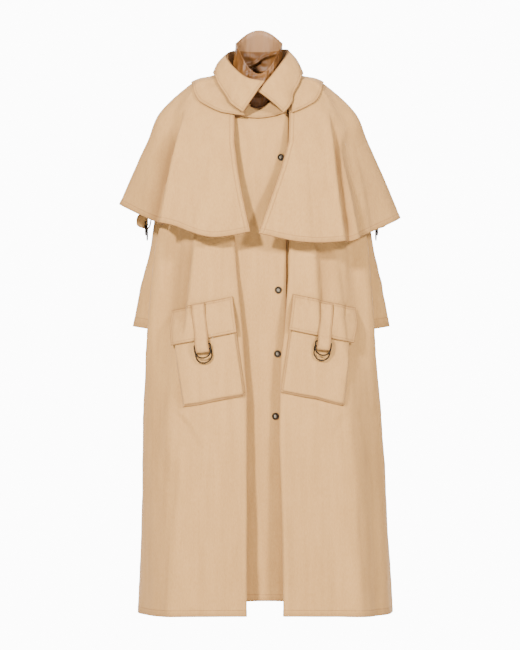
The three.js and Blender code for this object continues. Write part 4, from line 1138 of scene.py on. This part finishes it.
def yoke_half(side):
    end_x = YOKE_LEFT_END if side < 0 else YOKE_RIGHT_END

    def surface(across, down):
        end = ring_at_x(cape, down, end_x * mix(0.55, 1, np.minimum(down / 1.5, 1)), -3, 3)
        ring = mix(side * (HALF_RING - SEAM_GAP / 2 / YOKE_PLACE_LENGTH), end, across)
        hem = np.interp(np.abs(ring), YOKE_HEM[:, 0], YOKE_HEM[:, 1])
        low = mix(YOKE_EVEN, hem, (down - YOKE_EVEN) / (YOKE_FOOT - YOKE_EVEN))
        return yoke(ring, np.where(down <= YOKE_EVEN, down, low))

    return surface


def yoke_centre(across, down):
    x = mix(YOKE_CENTRE["left"], YOKE_CENTRE["right"], across) * mix(0.5, 1, np.minimum(down / 1.5, 1))
    ring = ring_at_x(body, down, x, -2.3, 2.3)
    return body(ring, down) - YOKE_CENTRE["clear"] * inward(body, ring, down)


def cape_relief(points):
    """The cape is smooth on the shoulders and crumples a little towards its hem."""
    below = smooth(-60, -230, points[..., 2])
    creases = np.where(points[..., 1] < 0, folded(points, CAPE_FOLDS), folded(points, BACK_CAPE_FOLDS))
    waves = below * (1.3 * long_folds(points) + 0.6 * soft_creases(points))
    return waves + creases * smooth(6, 40, np.abs(points[..., 1])) + FINE_HEIGHT * fine_creases(points)


CAPE_DOWN = np.linspace(0, CAPE_FOOT, 121)
for side, name in SIDES:
    cloth_piece(
        f"cloth_cape_{name}", sampled(cape_front(side), np.linspace(0, 1, 81), CAPE_DOWN), spacing=3.6,
        bands={"bottom": 13}, stitch=[("bottom", 12), ("right", 3), ("right", 11)], relief=cape_relief,
        outward=side, edges=("bottom", "right"), crease_shade=fold_painted_shade(CAPE_FOLDS),
    )
cloth_piece(
    "cloth_cape_back", sampled(cape_back, np.linspace(0, 1, 121), CAPE_DOWN), spacing=5.5,
    bands={"bottom": 13}, stitch=[("bottom", 12)], relief=cape_relief, outward=1, edges=("bottom",),
    crease_shade=fold_painted_shade(CAPE_FOLDS),
)
YOKE_DOWN = np.linspace(0, YOKE_FOOT, 43)
for side, name in SIDES:
    cloth_piece(
        f"cloth_yoke_{name}", sampled(yoke_half(side), np.linspace(0, 1, 101), YOKE_DOWN), spacing=3.5,
        bands={"bottom": 9}, stitch=[("bottom", 7)], outward=side, edges=("bottom", "right"),
        relief=lambda points: 0.15 * soft_creases(points) + 0.1 * fine_creases(points),
    )
cloth_piece(
    "cloth_yoke_centre",
    sampled(yoke_centre, np.linspace(0, 1, 41), np.linspace(0, YOKE_CENTRE["hem"], 31)), spacing=3.5,
    bands={"bottom": 7}, stitch=[("bottom", 6)], outward=-1,
)


def sleeve_relief(side):
    def relief(points):
        z = points[..., 2]
        above_cuff = smooth(-575, -520, z)
        rings = np.sin(z / 9.5 + 1.6 * np.sin(points[..., 1] / 37) + 0.9 * np.sin(points[..., 0] / 29))
        elbow = np.exp(-((z + 470) / 45) ** 2) + 0.55 * np.exp(-((z + 330) / 60) ** 2)
        return above_cuff * (0.9 * rings * elbow + 0.7 * soft_creases(points)) + 0.12 * fine_creases(points)

    return relief


for side, name in SIDES:
    cloth_piece(
        f"cloth_sleeve_{name}", spacing=5.0,
        raw=sampled(sleeve(side), np.linspace(0, 1, 97)[:-1], np.linspace(0, 6, 121)),
        bands={"bottom": 24}, stitch=[("bottom", 22)], relief=sleeve_relief(side), outward=side, wrap=True,
    )


def collar_leaf(place, down):
    place, down = together(place, down)
    fold = along(COLLAR[:, :3], place)
    ring, section = along(COLLAR[:, 3], place), along(COLLAR[:, 4], place)
    edge = cape(ring, section) - COLLAR_CLEAR * inward(cape, ring, section)
    out = unit(fold * LEVEL)
    out[..., 2] = 0.4
    return mix(fold, edge, down[..., None]) + out * (COLLAR_ROLL * np.sin(math.pi * down))[..., None]


def collar_stand(place, up):
    place, up = together(place, up)
    ring = along(COLLAR[:, 3], place)
    foot = body(np.where(ring < -HALF_RING, ring + 2 * HALF_RING, ring), 0) + np.array([0, 0, STAND_SEAT])
    head = along(COLLAR[:, :3], place)
    head = head - STAND_INSET * unit(head * LEVEL) - np.array([0, 0, STAND_INSET])
    return mix(foot, head, up[..., None])


cloth_piece(
    "cloth_collar", sampled(collar_leaf, np.linspace(0, 10, 201), np.linspace(0, 1, 31)), spacing=3.0,
    bands={"bottom": 7, "left": 7, "right": 7}, outward=1,
    stitch=[("bottom", 6.5), ("left", 6.5), ("right", 6.5)],
    relief=lambda points: 0.12 * fine_creases(points),
)
cloth_piece(
    "cloth_collar_stand", spacing=4.0, outward=-1,
    raw=sampled(collar_stand, np.linspace(1, 9, 161), np.linspace(0, 1, 21)),
)

# Satin funnel


def gathers(turn, up):
    """How deep the scrunched satin lies at a place, from 0 to 1."""
    angle = 2 * math.pi * turn
    waves = np.cos(17 * angle + 1.4 * up + 0.8 * np.sin(3 * angle))
    waves = waves + 0.55 * np.cos(31 * angle - 2.1 * up + 1.2 * np.sin(5 * angle + up))
    return 0.5 + 0.32 * waves


# Slanting folds of the satin behind the neck and in front of it: x and z of both ends, height, width
SATIN_FOLDS = [
    (-30, 56, 46, 88, 8, 3.4), (-34, 84, 20, 66, 2.4, 5), (-40, 40, 44, 52, 3, 5), (-40, 22, 40, 30, 3, 5),
]
RIM_FOLDS = [
    (-30, 34, 22, 36, 2.6, 4), (-24, 24, 26, 25, 3, 4), (-20, -26, 26, -30, 4, 6), (-30, 4, 24, 0, 3, 6),
]


def funnel_relief(points):
    """Slanting folds of the satin: towards the wearer behind the neck, and outwards in front of it."""
    x, y, z = points[..., 0], points[..., 1], points[..., 2]
    total = np.zeros(x.shape)
    for folds, sign in ((SATIN_FOLDS, -1), (RIM_FOLDS, 1)):
        here = smooth(4, 26, -sign * y)
        for x0, z0, x1, z1, height, width in folds:
            line = z0 + (z1 - z0) * (x - x0) / (x1 - x0) + 2.2 * np.sin(x / 9 + z0)
            ends = smooth(x0 - 8, x0 + 8, x) * (1 - smooth(x1 - 8, x1 + 8, x))
            total += sign * here * ends * height * np.exp(-((z - line) / width) ** 2)
    return total


def funnel(turn, up):
    turn, up = together(turn, up)
    angle = 2 * math.pi * turn
    across, forward = np.sin(angle), np.cos(angle)
    z_front, z_side, z_back, width, front_reach, back_reach, scrunch = (
        along(FUNNEL_SECTIONS[:, k], up) for k in range(7))
    inset = 3.2 * scrunch * gathers(turn, up) * mix(0.35, 1, 0.5 + 0.5 * forward)
    z = mix(np.where(forward > 0, z_front, z_back), z_side, across**2)
    reach = np.where(forward > 0, front_reach, back_reach) - inset
    return np.stack([(width - inset) * across + FUNNEL_CENTRE_X * up / 3, -reach * forward, z], axis=-1)


cloth_piece(
    "cloth_neck_funnel", sampled(funnel, np.linspace(0, 1, 361)[:-1], np.linspace(0, 3, 61)), spacing=2.2,
    bands={"bottom": 8}, relief=funnel_relief, outward=1, wrap=True,
    thickness=SATIN, look=SATIN_LOOK,
)

# Cargo pockets


def on_pocket(side, across, down, out):
    """A point over a pocket: mm from its top outer corner, and out from the panel."""
    across, down, out = together(across, down, out)
    lean_across, lean_down = math.radians(POCKET["lean_across"]), math.radians(POCKET["lean_down"])
    shift_x, shift_z = POCKET_RIGHT_SHIFT if side > 0 else (0, 0)
    x = side * (POCKET["x"] - across * math.cos(lean_across) - down * math.sin(lean_down)) + shift_x
    z = POCKET["z"] + across * math.sin(lean_across) - down * math.cos(lean_down) + shift_z
    section = section_at_height(z)
    ring = ring_at_x(body, section, x, -3, 3)
    return body(ring, section) - out[..., None] * inward(body, ring, section)


def on_tab(side, across, down, out):
    middle = (TAB_PATH[0, 0] + TAB_PATH[8, 0]) / 2
    lengthways = unit(
        on_pocket(side, TAB_ACROSS, middle + 50, 0) - on_pocket(side, TAB_ACROSS, middle - 50, 0))
    sideways = on_pocket(side, TAB_ACROSS + 15, middle, 0) - on_pocket(side, TAB_ACROSS - 15, middle, 0)
    sideways = unit(sideways - lengthways * np.dot(sideways, lengthways))
    line = on_pocket(side, TAB_ACROSS, down[:, 0], out[:, 0])
    return line[:, None] + sideways * across[..., None]


def pouch_rise(across, down):
    to_edge = np.minimum(np.minimum(across, POCKET["width"] - across), POCKET["height"] - down)
    return POUCH["foot"] + POUCH["height"] * smooth(0, POUCH["wall"], to_edge) * smooth(-4, 40, down)


def flap_rise(down):
    over_pouch = POUCH["foot"] + POUCH["height"] * smooth(-4, 40, down) + LAYER
    return mix(FLAP["foot"], over_pouch, smooth(-4, 13, down))


def on_sleeve_tab(side, start_x, across, place):
    """The strap beside a sleeve. Below its fixed end it turns its face a little to the front."""
    twist = SLEEVE_TAB_TWIST * smooth(1, 2.6, place) * (1 - smooth(4.7, 6.2, place))
    out = along(SLEEVE_TAB_PATH[:, 0], place) + (across - TAB_WIDTH / 2) * np.sin(twist)
    z = along(SLEEVE_TAB_PATH[:, 1], place)
    return np.stack([start_x + side * out, SLEEVE_TAB_Y + across * np.cos(twist), z], axis=-1)


TAB_ACROSS_PLACES = np.linspace(-TAB_WIDTH / 2, TAB_WIDTH / 2, 9)
TAB_STITCH = [("left", 3), ("right", 3)]
for side, name in SIDES:
    across, down = np.meshgrid(
        np.linspace(0, POCKET["width"], 64), np.linspace(POUCH["top"], POCKET["height"], 90))
    cloth_piece(
        f"cloth_pocket_{name}", on_pocket(side, across, down, pouch_rise(across, down)), spacing=2.8,
        stitch=[("bottom", 9), ("left", 9), ("right", 9)], relief=body_relief, outward=side,
        extra_lines=(0, 1.5, 3, 4.5, 6),
    )
    across, down = np.meshgrid(np.linspace(-2, POCKET["width"] + 2, 64), np.linspace(-4, FLAP["height"], 40))
    cloth_piece(
        f"cloth_flap_{name}", on_pocket(side, across, down, flap_rise(down)), spacing=2.8,
        bands={"bottom": 7, "left": 7, "right": 7}, relief=body_relief, outward=side,
        stitch=[("bottom", 6), ("left", 6), ("right", 6), ("top", 5)],
    )
    across, place = np.meshgrid(TAB_ACROSS_PLACES, np.linspace(0, 11, 111))
    cloth_piece(
        f"cloth_pocket_tab_{name}", spacing=2.4, outward=side,
        raw=on_tab(side, across, along(TAB_PATH[:, 0], place), along(TAB_PATH[:, 1], place)),
        stitch=TAB_STITCH, relief=body_relief,
    )
    across, place = np.meshgrid(TAB_ACROSS_PLACES, np.linspace(0, 10, 101))
    cloth_piece(
        f"cloth_sleeve_tab_{name}", spacing=2.4, outward=-side,
        raw=on_sleeve_tab(side, SLEEVE_TAB_X[name], across, place), stitch=TAB_STITCH,
    )

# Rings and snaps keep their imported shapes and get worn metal

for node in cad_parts:
    if node.startswith(("ring_", "snap_")):
        part = bpy.data.objects[node]
        look = GUNMETAL_LOOK if node.startswith("ring_") else SNAP_LOOK
        for place in part.material_slots:
            place.material = look


# Studio

FLOOR_Z = -1420
FLOOR_X = 4000
FLOOR_FRONT_Y = -9000
FLOOR_BACK_Y = 480
# How bright the world is by the Y of a direction: dim in front and at the sides, bright only behind the coat
WORLD_BRIGHTNESS = {"From Min": 0.82, "From Max": 0.95, "To Min": 0.2, "To Max": 12}
# Lights: name, place in metres, size in metres, power in watts
LIGHTS = [
    ("key", (-2.7, -4.5, 2.4), 0.6, 1060),
    ("fill", (3.4, -4.2, 1.7), 0.8, 640),
    ("top", (0, 0.3, 2.6), 1.8, 50),
]
LIT_PLACE = (0, 0, -0.6)


def add_floor():
    front_corners = [(-FLOOR_X, FLOOR_FRONT_Y, FLOOR_Z), (FLOOR_X, FLOOR_FRONT_Y, FLOOR_Z)]
    back_corners = [(FLOOR_X, FLOOR_BACK_Y, FLOOR_Z), (-FLOOR_X, FLOOR_BACK_Y, FLOOR_Z)]
    material, tree, shader = node_material("pale_floor")
    feed(tree, shader, {"Base Color": (0.9, 0.9, 0.9, 1), "Roughness": 0.9})
    mesh_object("floor", front_corners + back_corners, [(0, 1, 2, 3)], material=material)


def add_world():
    world = bpy.data.worlds.new("studio")
    world.use_nodes = True
    tree = world.node_tree
    direction = add_node(tree, "SeparateXYZ", {"Vector": places_on(tree, "Generated")}).outputs["Y"]
    brightness = add_node(
        tree, "MapRange", {**WORLD_BRIGHTNESS, "Value": direction}, interpolation_type="SMOOTHSTEP")
    strength = brightness.outputs["Result"]
    feed(tree, tree.nodes["Background"], {"Color": (1, 1, 1, 1), "Strength": strength})
    bpy.context.scene.world = world


def add_light(name, place, size, power):
    data = bpy.data.lights.new(name, "AREA")
    data.size = size
    data.energy = power
    light = bpy.data.objects.new(name, data)
    bpy.context.scene.collection.objects.link(light)
    light.location = place
    x, y, z = np.array(LIT_PLACE) - np.array(place)
    light.rotation_euler = (math.atan2(math.hypot(x, y), -z), 0, math.atan2(x, -y) + math.pi)


add_floor()
add_world()
for light in LIGHTS:
    add_light(*light)
